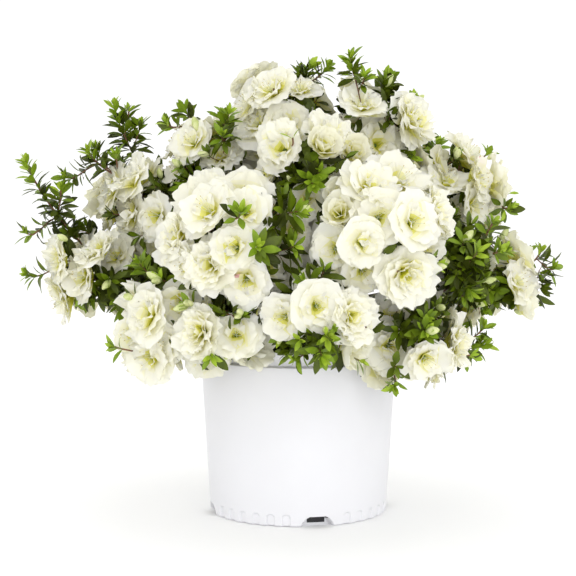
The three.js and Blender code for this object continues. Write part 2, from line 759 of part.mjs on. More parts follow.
const shrub = new THREE.Group();
const bark = natural('#6b4a35', 0.9);
const blossom = natural('#f4f4e4', 0.6);

shrub.add(meshOf('pot', pot(), plastic('#f2f2f4')));
shrub.add(meshOf('soil', soil(), natural('#2c2019', 0.95)));
shrub.add(meshOf('stem', stem(0), bark));

for (const mass of masses) {
  limbs[mass.name] = limbFor(mass);
  const body = limbSolid(limbs[mass.name], 0);
  const parent = mass.from === 'stem' ? stem(GAP) : limbSolid(limbs[mass.from], GAP);
  shrub.add(meshOf(`bough_${mass.name}`, fused([body.subtract(parent)]), bark));
}

for (const limb of Object.values(limbs)) {
  marksOn(limb).forEach((place, s) => {
    woodPoints.push({ place, radius: limb.radiusAt(s / LIMB_MARKS, 0) });
  });
}

masses.forEach((mass, index) => {
  mass.seed = 4101 + index * 137;
  mass.walls = wallsOf(mass);
  const grown = growMass(mass);
  shrub.add(meshOf(`mass_${mass.name}`, massSolid(mass, grown, new Dice(mass.seed + 2000)), blossom));
});

export default shrub;
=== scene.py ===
"""An evergreen azalea shrub in full white bloom, in its white nursery pot."""
import math

import bpy
import numpy as np
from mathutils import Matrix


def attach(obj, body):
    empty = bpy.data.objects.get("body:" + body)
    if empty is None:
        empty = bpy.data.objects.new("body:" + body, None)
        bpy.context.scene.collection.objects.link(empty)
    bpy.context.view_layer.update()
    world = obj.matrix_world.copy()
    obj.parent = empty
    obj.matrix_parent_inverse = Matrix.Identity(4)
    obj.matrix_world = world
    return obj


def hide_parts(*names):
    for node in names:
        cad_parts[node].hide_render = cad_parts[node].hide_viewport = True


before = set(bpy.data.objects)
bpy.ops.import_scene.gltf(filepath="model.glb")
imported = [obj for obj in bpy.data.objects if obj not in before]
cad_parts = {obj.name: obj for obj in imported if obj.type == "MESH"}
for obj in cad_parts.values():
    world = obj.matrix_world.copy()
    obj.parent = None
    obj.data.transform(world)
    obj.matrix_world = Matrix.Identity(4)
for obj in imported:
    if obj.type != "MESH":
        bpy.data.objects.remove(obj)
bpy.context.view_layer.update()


# Studio: a pale floor, three large soft lamps and a bright room. The camera stands a little over
# two metres away, level with the upper crown, and looks slightly down.

CAMERA_PLACE = (-0.013, -2.258, 0.484)
CAMERA_DOWN = 5.2
CAMERA_LENS = 113.9
CAMERA_SIGHT = 60
FLOOR_REACH = 14000
MM = 0.001
ROOM_LIGHT = 1.08
LAMPS = [
    # name, place, size, power, what it points at
    ("key_lamp", (0.7, -2.4, 1.5), 1.4, 8, (0.0, 0.0, 0.3)),
    ("front_lamp", (0.1, -2.7, 0.3), 1.2, 12, (0.0, 0.0, 0.2)),
    ("rear_lamp", (-0.6, 2.3, 2.2), 1.6, 6, (0.0, 0.0, 0.3)),
]


def pointed(place, target):
    """The turn that faces an object's own -Z from a place towards a target."""
    way = np.subtract(target, place)
    level = math.hypot(way[0], way[1])
    return (math.atan2(level, -way[2]), 0, math.atan2(-way[0], way[1]))


camera = bpy.data.objects.new("studio_camera", bpy.data.cameras.new("studio_camera"))
camera.data.lens = CAMERA_LENS
camera.data.clip_end = CAMERA_SIGHT
camera.location = CAMERA_PLACE
camera.rotation_euler = (math.radians(90 - CAMERA_DOWN), 0, 0)
bpy.context.scene.collection.objects.link(camera)
bpy.context.scene.camera = camera

for name, place, size, power, target in LAMPS:
    lamp = bpy.data.objects.new(name, bpy.data.lights.new(name, "AREA"))
    lamp.data.size = size
    lamp.data.energy = power
    lamp.location = place
    lamp.rotation_euler = pointed(place, target)
    bpy.context.scene.collection.objects.link(lamp)

room = bpy.data.worlds.new("studio_room")
room.use_nodes = True
room.node_tree.nodes["Background"].inputs["Color"].default_value = (1, 1, 1, 1)
room.node_tree.nodes["Background"].inputs["Strength"].default_value = ROOM_LIGHT
bpy.context.scene.world = room
bpy.context.scene.view_settings.view_transform = "Standard"


class Wire:
    """A node's output, to which Python's arithmetic adds Math nodes."""

    def __init__(self, tree, socket=None):
        self.tree = tree
        self.socket = socket

    def node(self, kind, settings=None, sockets=None, output=0):
        """A new node: its settings come first, then the values or wires of its sockets."""
        made = self.tree.nodes.new(kind)
        for name, value in (settings or {}).items():
            if name == "stops":
                ramp = made.color_ramp.elements
                while len(ramp) < len(value):
                    ramp.new(0.5)
                for stop, (place, color) in zip(ramp, value):
                    stop.position = place
                    stop.color = (*color, 1)
            else:
                setattr(made, name, value)
        for name, value in (sockets or {}).items():
            if isinstance(value, Wire):
                self.tree.links.new(value.socket, made.inputs[name])
            else:
                made.inputs[name].default_value = value
        return Wire(self.tree, made.outputs[output])

    def into(self, shader, socket):
        """Feeds a socket of a shader from this wire."""
        self.tree.links.new(self.socket, shader.inputs[socket])

    def maths(self, operation, first, second):
        return self.node("ShaderNodeMath", {"operation": operation}, {0: first, 1: second})

    def __add__(self, other):
        return self.maths("ADD", self, other)

    def __sub__(self, other):
        return self.maths("SUBTRACT", self, other)

    def __rsub__(self, other):
        return self.maths("SUBTRACT", other, self)

    def __mul__(self, other):
        return self.maths("MULTIPLY", self, other)

    __radd__ = __add__
    __rmul__ = __mul__


def finish(name, **constants):
    """A new material, its shader with constants on its own sockets, and a wire to start from."""
    material = bpy.data.materials.new(name)
    material.use_nodes = True
    shader = material.node_tree.nodes["Principled BSDF"]
    for socket, value in constants.items():
        shader.inputs[socket.replace("_", " ")].default_value = value
    return material, shader, Wire(material.node_tree)


def piece_of(name, places, faces, materials, kinds=None, smooth=True):
    """A mesh object from arrays: places in millimetres, faces, and each face's finish."""
    mesh = bpy.data.meshes.new(name)
    mesh.from_pydata((np.asarray(places) * MM).tolist(), [], [list(face) for face in faces])
    for material in materials:
        mesh.materials.append(material)
    if kinds is not None:
        mesh.polygons.foreach_set("material_index", np.asarray(kinds, dtype=np.int32))
    mesh.polygons.foreach_set("use_smooth", np.full(len(mesh.polygons), smooth))
    mesh.update()
    made = bpy.data.objects.new(name, mesh)
    bpy.context.scene.collection.objects.link(made)
    return made


floor_places = FLOOR_REACH * np.array([(-1, -1, 0), (1, -1, 0), (1, 1, 0), (-1, 1, 0)])
paper = finish("pale_paper", Base_Color=(0.95, 0.95, 0.95, 1), Roughness=0.9,
               Emission_Color=(1, 1, 1, 1), Emission_Strength=0.08)[0]
floor = piece_of("studio_floor", floor_places, [(0, 1, 2, 3)], [paper])


# Nursery pot: moulded in two skins, satin white outside and black inside, with a shoulder, a
# set-in collar and a rolled lip. Flutes stiffen its foot, and four notches let water out.

POT_HEIGHT = 212
FOOT_RADIUS = 110
SHOULDER_RADIUS = 121.5
SHOULDER_Z = 194
COLLAR_RADIUS = 115.6
LIP_RADIUS = 118
LIP_HEIGHT = 5.8
LIP_UNDERCUT = 0.8
LIP_EDGE = 0.6
SHOULDER_STEP = 1.5
WALL = 2.5
INNER_STEP = 3
INNER_FOOT = 150
INNER_TAPER = 2
POT_COLUMNS = 640
OUTER_ROUNDING = 0.9
INNER_ROUNDING = 0.8
SHARPEST_FOLD = 38
NOTCHES = 4
NOTCH_BEARING = -78
NOTCH_TOP = 12.2
# The notch's outline: heights, then half its width there.
NOTCH_OUTLINE = [(0, 20.4), (4.6, 18.0), (9.4, 13.6), (11.4, 11.6), (NOTCH_TOP, 10.0)]
NOTCH_DEPTH = 13
NOTCH_EDGE = 0.9
FLUTES_PER_SIDE = 6
FLUTE_FIRST = 20
FLUTE_PITCH = 10
FLUTE_WIDTH = 9.6
FLUTE_HEIGHT = 16
FLUTE_ARCH = 0.28
FLUTE_DEPTH = 2.3
FLUTE_STEEPNESS = 1.5
FLUTE_FADE = 1.5
FOOT_RING = 6
# Where a notch is painted black: its drain hole, and painted shade on its back and roof round the
# hole.
SHADED_HOLE_DEEP = 0.9
SHADED_HOLE_FOOT = 3.4
SHADED_HOLE_HALF_WIDTH = 12.5
LONGEST_CUT = 0.45
STRAIGHT = 1e-6
# Where the wall has rings of faces, close together at the notches and flutes.
WALL_RINGS = (3, 5, 7, 9, 11, 12, 13, 14, 15, 16, 17, 20, 60, 100, 150, 190)


def rounded(corners, reach, steps=4):
    """A profile whose corners are rounded over a reach, except its two ends."""
    corners = [np.array(corner, float) for corner in corners]
    line = [corners[0]]
    for before, corner, after in zip(corners, corners[1:], corners[2:]):
        into, out = corner - before, after - corner
        if abs(into[0] * out[1] - into[1] * out[0]) < STRAIGHT:
            line.append(corner)
            continue
        cut_in = corner - into * min(LONGEST_CUT, reach / np.hypot(*into))
        cut_out = corner + out * min(LONGEST_CUT, reach / np.hypot(*out))
        for step in range(steps + 1):
            t = step / steps
            line.append((1 - t) ** 2 * cut_in + 2 * t * (1 - t) * corner + t * t * cut_out)
    return np.array([*line, corners[-1]])


def wall_radius(z):
    """The radius of the tapered wall at a height."""
    return FOOT_RADIUS + (SHOULDER_RADIUS - FOOT_RADIUS) * z / SHOULDER_Z


# From the middle of the underside out, up the wall and over the lip, then down the inside.
lip_z = POT_HEIGHT - LIP_HEIGHT
outside = rounded([
    (0, 2.5),
    (60, 2.5),
    (84, 1.6),
    (96, 0),
    (104, 0),
    (108.4, 0.8),
    (FOOT_RADIUS, 2.4),
    *[(wall_radius(z), z) for z in WALL_RINGS],
    (SHOULDER_RADIUS, SHOULDER_Z),
    (COLLAR_RADIUS, SHOULDER_Z + SHOULDER_STEP),
    (COLLAR_RADIUS, lip_z),
    (LIP_RADIUS, lip_z + LIP_UNDERCUT),
    (LIP_RADIUS, POT_HEIGHT),
    (COLLAR_RADIUS - LIP_EDGE, POT_HEIGHT),
], OUTER_ROUNDING)
inside = rounded([
    (COLLAR_RADIUS - LIP_EDGE, POT_HEIGHT),
    (COLLAR_RADIUS - WALL, POT_HEIGHT - LIP_EDGE),
    (COLLAR_RADIUS - WALL, SHOULDER_Z),
    (SHOULDER_RADIUS - WALL, SHOULDER_Z - INNER_STEP),
    (SHOULDER_RADIUS - WALL - INNER_TAPER, INNER_FOOT),
], INNER_ROUNDING)
profile = np.vstack([outside, inside[1:]])
turns = np.arange(POT_COLUMNS) * 2 * math.pi / POT_COLUMNS
radius = np.repeat(profile[:, :1], POT_COLUMNS, axis=1)
height = np.repeat(profile[:, 1:], POT_COLUMNS, axis=1)
is_outer = (np.arange(len(profile)) < len(outside))[:, None]
quarter = 360 / NOTCHES
side = np.degrees(turns) - NOTCH_BEARING
from_notch = (side + quarter / 2) % quarter - quarter / 2
across = np.abs(np.radians(from_notch)) * FOOT_RADIUS

half_width = np.interp(height, *zip(*NOTCH_OUTLINE))
notch = np.clip((half_width - across[None, :]) / NOTCH_EDGE + 0.5, 0, 1)
notch = notch * (height < NOTCH_TOP) * is_outer
notched = np.minimum(radius, FOOT_RADIUS - NOTCH_DEPTH)
place_in_side = (side % quarter - FLUTE_FIRST) / FLUTE_PITCH
nearest = np.clip(np.round(place_in_side), 0, FLUTES_PER_SIDE - 1)
off_flute = np.abs(np.radians((place_in_side - nearest) * FLUTE_PITCH)) * FOOT_RADIUS
arch = np.sqrt(np.clip(1 - (2 * off_flute / FLUTE_WIDTH) ** 2, 0, 1))
top = FLUTE_HEIGHT * (1 - FLUTE_ARCH + FLUTE_ARCH * arch)
flute = np.clip(FLUTE_STEEPNESS * np.sqrt(arch), 0, 1)[None, :]
flute = flute * np.clip((top[None, :] - height) / FLUTE_FADE, 0, 1)
flute *= is_outer * (radius > FOOT_RADIUS - FOOT_RING)
radius = radius - FLUTE_DEPTH * flute
radius = radius + (notched - radius) * notch
pot_places = np.stack([radius * np.cos(turns), radius * np.sin(turns), height], axis=-1)


def grid_faces(rows, columns, closed=True):
    """The four-sided faces of a grid whose columns may close into a ring."""
    spans = columns if closed else columns - 1
    row, column = np.meshgrid(np.arange(rows - 1), np.arange(spans), indexing="ij")
    beside = (column + 1) % columns
    corners = [row * columns + column, row * columns + beside,
               (row + 1) * columns + beside, (row + 1) * columns + column]
    return np.stack([corner.ravel() for corner in corners], axis=1)


PATCH_WIDTH = 3.0
PATCH_SHARE = 1.1
TONE_ENDS = (0.3, 0.7)
RELIEF_REACH = 0.0006


def mottled(name, dark, light, grain, relief, **constants):
    """A finish that wanders between two tones in grains and patches, with a relief of grains."""
    material, shader, wire = finish(name, **constants)
    place = wire.node("ShaderNodeTexCoord", output=3)
    spots = {"Vector": place, "Scale": grain, "Detail": 3.0, "Roughness": 0.6}
    grains = wire.node("ShaderNodeTexNoise", sockets=spots)
    broad = {"Vector": place, "Scale": grain / PATCH_WIDTH, "Detail": 1.0}
    patches = wire.node("ShaderNodeTexNoise", sockets=broad)
    tone = grains + PATCH_SHARE * (patches - 0.5)
    tones = {"stops": list(zip(TONE_ENDS, (dark, light)))}
    wire.node("ShaderNodeValToRGB", tones, {0: tone}).into(shader, "Base Color")
    bump = {"Height": grains, "Strength": relief, "Distance": RELIEF_REACH}
    wire.node("ShaderNodeBump", sockets=bump).into(shader, "Normal")
    return material


white_skin = mottled("white_pot_skin", (0.785, 0.785, 0.812), (0.8, 0.8, 0.828), 18.0, 0.05,
                     Roughness=0.4, IOR=1.49)
black_skin = mottled("black_pot_skin", (0.012, 0.012, 0.014), (0.02, 0.02, 0.022), 60.0, 0.1,
                     Roughness=0.55)
pot_faces = grid_faces(len(profile), POT_COLUMNS)
pot_kinds = np.repeat(np.arange(len(profile) - 1) >= len(outside) - 1, POT_COLUMNS)
# The back and roof of each notch take the black skin: partly the drain hole onto the black inside,
# partly painted shade in the recess.
hole_and_painted_shade = (notch > SHADED_HOLE_DEEP) & (height > SHADED_HOLE_FOOT) & (across < SHADED_HOLE_HALF_WIDTH)
pot_kinds |= hole_and_painted_shade[:-1].ravel()
pot = piece_of("nursery_pot", pot_places.reshape(-1, 3), pot_faces, [white_skin, black_skin],
               pot_kinds)
pot.data.set_sharp_from_angle(angle=math.radians(SHARPEST_FOLD))
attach(pot, "root")
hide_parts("pot")


# Potting mix: composted bark, dark and damp, settled a little lower at the wall. Loose chips of
# bark lie pressed into its crumbly top.

SOIL_Z = 186
SOIL_EDGE_Z = 182
SOIL_RADIUS = 117
SOIL_ROWS = 34
SOIL_COLUMNS = 120
SOIL_SINKS = 1.5
SOIL_SEED = 11
CRUMB = 1.3
LUMP = 1.6
LUMP_PACE = 0.16
LUMP_SWAY = 3
LUMPS_ROUND = (3, 5)
# Down the side of the root ball and in along the pot's floor: radius, then height.
SOIL_SKIRT = [(SOIL_RADIUS, 172), (104, 16), (94, 14), (94, 4), (0, 4)]
CHIPS = 620
CHIP_LEAST = (2.5, 1.4, 0.6)
CHIP_MOST = (8.0, 3.6, 1.7)
CHIP_CORNERS = (0.7, 1.15)
CHIP_TILT = 0.35
CHIPS_FROM = 14
CHIPS_SPREAD = 96

dice = np.random.default_rng(SOIL_SEED)
spread = np.linspace(0, 1, SOIL_ROWS)
top_radius = np.repeat(spread[:, None] * SOIL_RADIUS, SOIL_COLUMNS, axis=1)
soil_turns = np.arange(SOIL_COLUMNS) * 2 * math.pi / SOIL_COLUMNS
crumbs = dice.uniform(-CRUMB, CRUMB, top_radius.shape)
crumbs[0] = 0
sway = LUMP_SWAY * np.cos(soil_turns * LUMPS_ROUND[0])
lumps = LUMP * np.sin(top_radius * LUMP_PACE + sway) * np.sin(soil_turns * LUMPS_ROUND[1])
settled = (SOIL_EDGE_Z - SOIL_Z) * (top_radius / SOIL_RADIUS) ** 2
top_height = SOIL_Z - SOIL_SINKS + settled + crumbs + lumps * spread[:, None]
soil_radius, soil_height = (
    np.vstack([top, *[np.full((1, SOIL_COLUMNS), measure) for measure in skirt]])
    for top, skirt in zip((top_radius, top_height), zip(*SOIL_SKIRT))
)
soil_places = np.stack([soil_radius * np.cos(soil_turns), soil_radius * np.sin(soil_turns),
                        soil_height], axis=-1)
mix = mottled("composted_bark", (0.012, 0.008, 0.006), (0.05, 0.032, 0.02), 300.0, 0.8,
              Roughness=0.95)
soil = piece_of("potting_mix", soil_places.reshape(-1, 3),
                grid_faces(len(soil_radius), SOIL_COLUMNS)[:, ::-1], [mix])
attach(soil, "root")
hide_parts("soil")

chip_corners = np.array([(x, y, z) for z in (-1, 1) for y in (-1, 1) for x in (-1, 1)], float)
chip_sides = np.array([(0, 2, 3, 1), (4, 5, 7, 6), (0, 1, 5, 4), (2, 6, 7, 3), (0, 4, 6, 2),
                       (1, 3, 7, 5)])
chip_tones = [
    mottled(name, dark, light, 260.0, 0.6, Roughness=rough)
    for name, dark, light, rough in [
        ("fresh_chip", (0.1, 0.05, 0.025), (0.2, 0.11, 0.06), 0.85),
        ("weathered_chip", (0.05, 0.035, 0.025), (0.1, 0.075, 0.055), 0.9),
        ("dark_chip", (0.018, 0.011, 0.008), (0.045, 0.028, 0.018), 0.9),
    ]
]
chip_places = []
chip_kinds = []
for chip in range(CHIPS):
    size = dice.uniform(CHIP_LEAST, CHIP_MOST)
    corners = chip_corners * size * dice.uniform(*CHIP_CORNERS, chip_corners.shape)
    turn = dice.uniform(0, math.pi)
    tip = dice.uniform(-CHIP_TILT, CHIP_TILT)
    bearing = dice.uniform(0, 2 * math.pi)
    out = CHIPS_FROM + CHIPS_SPREAD * math.sqrt(dice.uniform())
    across = corners[:, 0] * math.cos(turn) - corners[:, 1] * math.sin(turn)
    along = corners[:, 0] * math.sin(turn) + corners[:, 1] * math.cos(turn)
    up = corners[:, 2] + tip * across
    ground = SOIL_Z + (SOIL_EDGE_Z - SOIL_Z) * (out / SOIL_RADIUS) ** 2
    chip_places.append(np.stack([out * math.cos(bearing) + across,
                                 out * math.sin(bearing) + along, ground + up], axis=1))
    chip_kinds.extend([chip % len(chip_tones)] * len(chip_sides))
chip_faces = np.vstack([chip_sides + len(chip_corners) * chip for chip in range(CHIPS)])
chips = piece_of("bark_chips", np.vstack(chip_places), chip_faces, chip_tones, chip_kinds,
                 smooth=False)
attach(chips, "root")


# Stem: one short woody trunk that leans a little and flares into roots at the soil. Its bark is
# furrowed in low ridges that twist slowly round it.

STEM_HEIGHT = 62
STEM_RADIUS = 11
STEM_TOP_RADIUS = 7.5
STEM_LEAN = (5, 4)
FLARE_RADIUS = 10
FLARE_FADE = 7
FLARE_ROOTS = 5
FLARE_WAVE = 0.35
STEM_RINGS = 70
STEM_SIDES = 56
STEM_RIDGES = 0.05
# The bark's ridges round a limb, how they wander and twist along it, and its knots.
BARK_RIDGES = 9
BARK_WANDER = 1.6
BARK_PACE = 0.11
BARK_TWIST = 0.05
KNOTS_ROUND = 3
KNOT_PACES = (0.31, 0.23)
KNOT_START = 1.7
GAP = 0.3
UP = np.array([0.0, 0.0, 1.0])
STEEP = 0.9


def unit(way):
    """A vector brought to length one."""
    return way / (math.sqrt(way @ way) or 1.0)


def bezier(*controls):
    """A curve of three or four control points, as a function of the way along it."""
    controls = [np.array(control, float) for control in controls]

    def place(t):
        k = 1 - t
        if len(controls) == 3:
            a, b, c = controls
            return a * (k * k) + b * (2 * k * t) + c * (t * t)
        a, b, c, d = controls
        return a * k**3 + b * (3 * k * k * t) + c * (3 * k * t * t) + d * t**3

    return place


def heading(line, t, reach=1e-4):
    """Which way a curve runs at a place on it."""
    return unit(line(min(1.0, t + reach)) - line(max(0.0, t - reach)))


def square_to(way):
    """A way square to another: level, unless the other one stands steep."""
    return unit(np.cross(UP if abs(way[2]) < STEEP else (1.0, 0.0, 0.0), way))


def rod(line, radius_at, sides, steps):
    """A bent round rod along a curve: its places and faces, with a rounded far end."""
    marks = np.linspace(0, 1, steps + 1)
    places = []
    over_last = None
    for t in marks:
        along = heading(line, t)
        if over_last is None:
            over_last = square_to(along)
        over_last = unit(over_last - along * (over_last @ along))
        other = np.cross(along, over_last)
        angles = np.arange(sides) * 2 * math.pi / sides
        radii = np.array([radius_at(t, angle) for angle in angles])[:, None]
        ring = np.cos(angles)[:, None] * over_last + np.sin(angles)[:, None] * other
        places.append(line(t) + radii * ring)
    places.append(line(1.0) + np.zeros((sides, 3)))
    return np.vstack(places), grid_faces(steps + 2, sides)


class Parts:
    """Places and faces gathered from many small shapes, to be joined into one piece."""

    def __init__(self):
        self.places = []
        self.faces = []
        self.kinds = []
        self.count = 0

    def add(self, places, faces, kinds=0):
        self.places.append(places)
        self.faces.append(np.asarray(faces) + self.count)
        self.kinds.append(np.broadcast_to(kinds, len(faces)))
        self.count += len(places)

    def piece(self, name, materials, smooth=True):
        return piece_of(name, np.vstack(self.places), np.vstack(self.faces), materials,
                        np.concatenate(self.kinds), smooth)


stem_top = (STEM_LEAN[0], STEM_LEAN[1], SOIL_Z + STEM_HEIGHT)
stem_line = bezier((0, 0, SOIL_Z + GAP), (0, 0, SOIL_Z + STEM_HEIGHT / 2), stem_top)


def stem_radius(t, angle):
    """The trunk's taper, with its flare into the roots."""
    flare = FLARE_RADIUS * math.exp(-FLARE_FADE * t)
    trunk = STEM_RADIUS + (STEM_TOP_RADIUS - STEM_RADIUS) * t
    return trunk + flare * (1 - FLARE_WAVE + FLARE_WAVE * math.cos(FLARE_ROOTS * angle))


def barked(radius_at, length, depth):
    """A limb's radius with the ridges and furrows of its bark."""
    def radius(t, angle):
        run = t * length
        wander = BARK_WANDER * math.sin(run * BARK_PACE) + run * BARK_TWIST
        ridge = math.sin(BARK_RIDGES * angle + wander)
        knots = math.sin(KNOTS_ROUND * angle + run * KNOT_PACES[0])
        knots *= math.sin(run * KNOT_PACES[1] + KNOT_START)
        return radius_at(t, angle) * (1 + depth * ridge + depth * knots)
    return radius


bark = mottled("furrowed_bark", (0.035, 0.02, 0.013), (0.16, 0.1, 0.065), 150.0, 0.9,
               Roughness=0.9)
stem_parts = Parts()
stem_parts.add(*rod(stem_line, barked(stem_radius, STEM_HEIGHT, STEM_RIDGES), STEM_SIDES,
                    STEM_RINGS))
stem = stem_parts.piece("stem_bark", [bark])
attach(stem, "root")
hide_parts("stem")


# Boughs: one tapering limb for each mass of foliage, off the stem or off an earlier bough, that
# arches up and ends where it enters its mass. The same brown bark covers them, smoother.

LIMB_TIP_RADIUS = 2.6
LIMB_GROWTH = 0.0135
LIMB_SHORT = 0.7
LIMB_BEND = 0.42
STEM_LIFT = 0.32
FORK_LIFT = 0.12
LIMB_SIDES = 14
LIMB_RINGS = 26
LIMB_RIDGES = 0.04
FIRST_SEED = 4101
SEED_STEP = 137

# Each mass: its middle, how far out its blooms stand, the limb its bough grows from and how far
# along, the share of its tips that bloom, and its long shoots as bearing, rise and reach.
MASSES = [
    ("top_centre", (-18, 5, 484), 74, "stem", 0.97, 0.9,
     [(-102, 34, 72), (-4, 52, 86), (68, 49, 78)]),
    ("far_left", (-250, -5, 304), 70, "stem", 0.62, 0.8,
     [(-172, 57, 158), (-165, 27, 96), (-150, 64, 108), (-155, -4, 88)]),
    ("centre_right", (88, -138, 350), 92, "stem", 0.6, 0.95, [(-74, -21, 90)]),
    ("back_top", (-25, 118, 420), 90, "stem", 0.7, 0.8, [(80, 60, 124), (140, 35, 120)]),
    ("left_low", (-142, -94, 252), 84, "stem", 0.36, 0.95, [(-152, -20, 90)]),
    ("right_low", (130, -108, 228), 72, "stem", 0.3, 0.75,
     [(22, -7, 103), (-2, -15, 76), (-114, -47, 70)]),
    ("back_right", (118, 108, 365), 88, "stem", 0.66, 0.8, [(40, 45, 128), (75, 20, 116)]),
    ("back_low", (-10, 168, 268), 88, "stem", 0.42, 0.8, [(110, 10, 112), (70, 5, 108)]),
    ("left_upper", (-188, 8, 376), 74, "far_left", 0.42, 0.85,
     [(-160, 44, 104), (146, 68, 138), (-165, 22, 108)]),
    ("top_left", (-108, -8, 436), 66, "top_centre", 0.35, 0.8,
     [(139, 56, 78), (-166, 40, 70), (-66, 45, 81)]),
    ("centre_left", (-66, -145, 340), 92, "left_low", 0.3, 0.95, [(-90, 27, 94)]),
    ("centre", (22, -92, 414), 78, "centre_right", 0.5, 0.9, [(-122, 43, 76), (-170, 44, 81)]),
    ("top_right", (86, 0, 464), 79, "back_right", 0.4, 0.9,
     [(-115, 60, 112), (40, 66, 82), (0, 40, 72)]),
    ("right_upper", (194, 0, 396), 64, "back_right", 0.55, 0.85,
     [(22, 48, 66), (0, 0, 66), (-37, -12, 77)]),
    ("mid_right", (170, -62, 316), 74, "right_low", 0.3, 0.4,
     [(-7, 10, 80), (-59, 12, 78), (-30, 35, 84)]),
    ("far_right", (262, -8, 285), 50, "mid_right", 0.45, 0.6,
     [(13, 43, 54), (-13, 19, 56), (59, 37, 58)]),
    ("front_low", (26, -186, 266), 70, "right_low", 0.45, 0.4,
     [(-135, -51, 62), (-16, -50, 68), (-86, -17, 66), (-39, -10, 64)]),
    ("front_low_left", (-84, -164, 258), 60, "left_low", 0.55, 0.85, [(-107, -33, 66)]),
    ("back_left", (-152, 108, 325), 90, "back_low", 0.4, 0.8, [(140, 25, 118), (170, 45, 112)]),
    ("back_far_right", (194, 90, 280), 68, "back_low", 0.3, 0.75,
     [(20, 20, 100), (45, 40, 96)]),
]


class Mass:
    """One mass of foliage, with its bough and the flat walls between it and the others."""

    def __init__(self, index, row):
        self.name, middle, self.radius, self.source, self.along, self.bloom, self.shoots = row
        self.middle = np.array(middle, float)
        self.seed = FIRST_SEED + index * SEED_STEP


masses = [Mass(index, row) for index, row in enumerate(MASSES)]
limbs = {"stem": (stem_line, stem_radius)}
for mass in masses:
    line, radius_at = limbs[mass.source]
    root = line(mass.along)
    whole = mass.middle - root
    distance = math.sqrt(whole @ whole)
    length = distance - mass.radius * LIMB_SHORT
    tip = root + whole * (length / distance)
    lift = STEM_LIFT if mass.source == "stem" else FORK_LIFT
    bend = root + (tip - root) * LIMB_BEND + UP * (length * lift * (1 - whole[2] / distance))
    thick = LIMB_TIP_RADIUS + length * LIMB_GROWTH
    limbs[mass.name] = (
        bezier(root, bend, tip),
        lambda t, angle, thick=thick: thick + (LIMB_TIP_RADIUS - thick) * t,
    )
    mass.length = length

young_bark = mottled("bough_bark", (0.05, 0.026, 0.015), (0.19, 0.11, 0.06), 190.0, 0.7,
                     Roughness=0.85)
bough_parts = Parts()
for mass in masses:
    line, radius_at = limbs[mass.name]
    ridged = barked(radius_at, mass.length, LIMB_RIDGES)
    bough_parts.add(*rod(line, ridged, LIMB_SIDES, LIMB_RINGS))
boughs = bough_parts.piece("bough_bark", [young_bark])
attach(boughs, "root")
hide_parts(*["bough_" + mass.name for mass in masses])


# Twigs: thin red-brown wood that forks from a short stem inside each mass to every bloom and
# leafy tip. Each mass keeps to its own space, between the flat walls that part it from others.

LIMB_MARKS = 24
TWIG_TIP_RADIUS = 0.7
TWIG_GROWTH = 0.009
TWIG_STEP = 50
MOST_KINKS = 2
TWIG_SHORTEST = 6
TWIG_BEND = 0.3
TWIG_FORKS = (0.45, 0.75)
TWIG_CHECKS = (0.2, 0.4, 0.6, 0.8, 1.0)
TWIG_KEEP = 0.4
TWIG_TRIES = 8
TURN_COST = 0.7
STEM_RISE = 0.15
STEM_TAPER = 0.7
STEM_FORKS = (0.3, 0.5, 0.75, 1.0)
SHOOT_LIFT = 0.64
# Each growth of tips in a mass's space: what it adds to the mass's seed, their radii, how many
# are tried, how far apart they stay and how deep they sit, both as shares of their radii.
BLOOM_TIPS = (0, (28, 37), 90, 0.785, 0.3)
FILL_TIPS = (3000, (24, 32), 200, 0.62, 0.62)
SPRIG_TIPS = (5000, (9, 13), 40, 0.8, 0.2)
INNER_TIPS = (7000, (11, 15), 60, 0.85, 2.2)
BLOOM_LIFT = 0.24
BLOOM_DEPTH = 0.3
FILL_PLENTY = 1.3
HEIGHT_PLAY = 0.03
TURN_PLAY = 0.15
LOWEST_OUT = -0.75
LEAST_OUT = 0.3
# How far tips keep off the pot and the wood, and how far behind them their twigs end, all as
# shares of their radii.
POT_KEEP = 0.9
WOOD_KEEP = 0.7
BLOOM_SEAT = 0.45
TUFT_SEAT = 0.7
POT_MARGIN = 5
WALL_TURNS = 8
WALL_NUDGE = 0.05
# The heart of the crown, which all tips face away from.
HEART = np.array([0.0, 20.0, 310.0])


class Dice:
    """Seeded numbers, so that the shrub grows the same each time."""

    FACTOR = 16807
    SPAN = 2147483647

    def __init__(self, seed):
        self.state = seed

    def next(self):
        self.state = (self.state * self.FACTOR) % self.SPAN
        return self.state / self.SPAN

    def between(self, low, high):
        return low + (high - low) * self.next()


wood_places = []
wood_radii = []
for line, radius_at in limbs.values():
    for mark in range(LIMB_MARKS + 1):
        wood_places.append(line(mark / LIMB_MARKS))
        wood_radii.append(radius_at(mark / LIMB_MARKS, 0))
wood_places = np.array(wood_places)
wood_radii = np.array(wood_radii)

for mass in masses:
    mass.normals = []
    mass.reaches = []
    for other in masses:
        if other is not mass:
            across = other.middle - mass.middle
            distance = math.sqrt(across @ across)
            reach = (distance**2 + mass.radius**2 - other.radius**2) / (2 * distance)
            mass.normals.append(across / distance)
            mass.reaches.append(reach - GAP / 2)
    mass.normals = np.array(mass.normals)
    mass.reaches = np.array(mass.reaches)


def clear_of_wood(place, size):
    """Whether a ball at a place stands clear of every limb."""
    off = wood_places - place
    return bool(np.all(np.sqrt((off * off).sum(axis=1)) > wood_radii + size + GAP))


def clear_of_pot(place, size):
    """Whether a ball stands outside the pot or over its lip."""
    out = math.hypot(place[0], place[1])
    return out > SHOULDER_RADIUS + POT_MARGIN + size or place[2] > POT_HEIGHT + POT_MARGIN + size


def fits(mass, place, size):
    """Whether a ball lies within a mass's walls, clear of limbs and pot."""
    inside = np.all(mass.normals @ (place - mass.middle) + size < mass.reaches)
    return bool(inside) and clear_of_wood(place, size) and clear_of_pot(place, size)


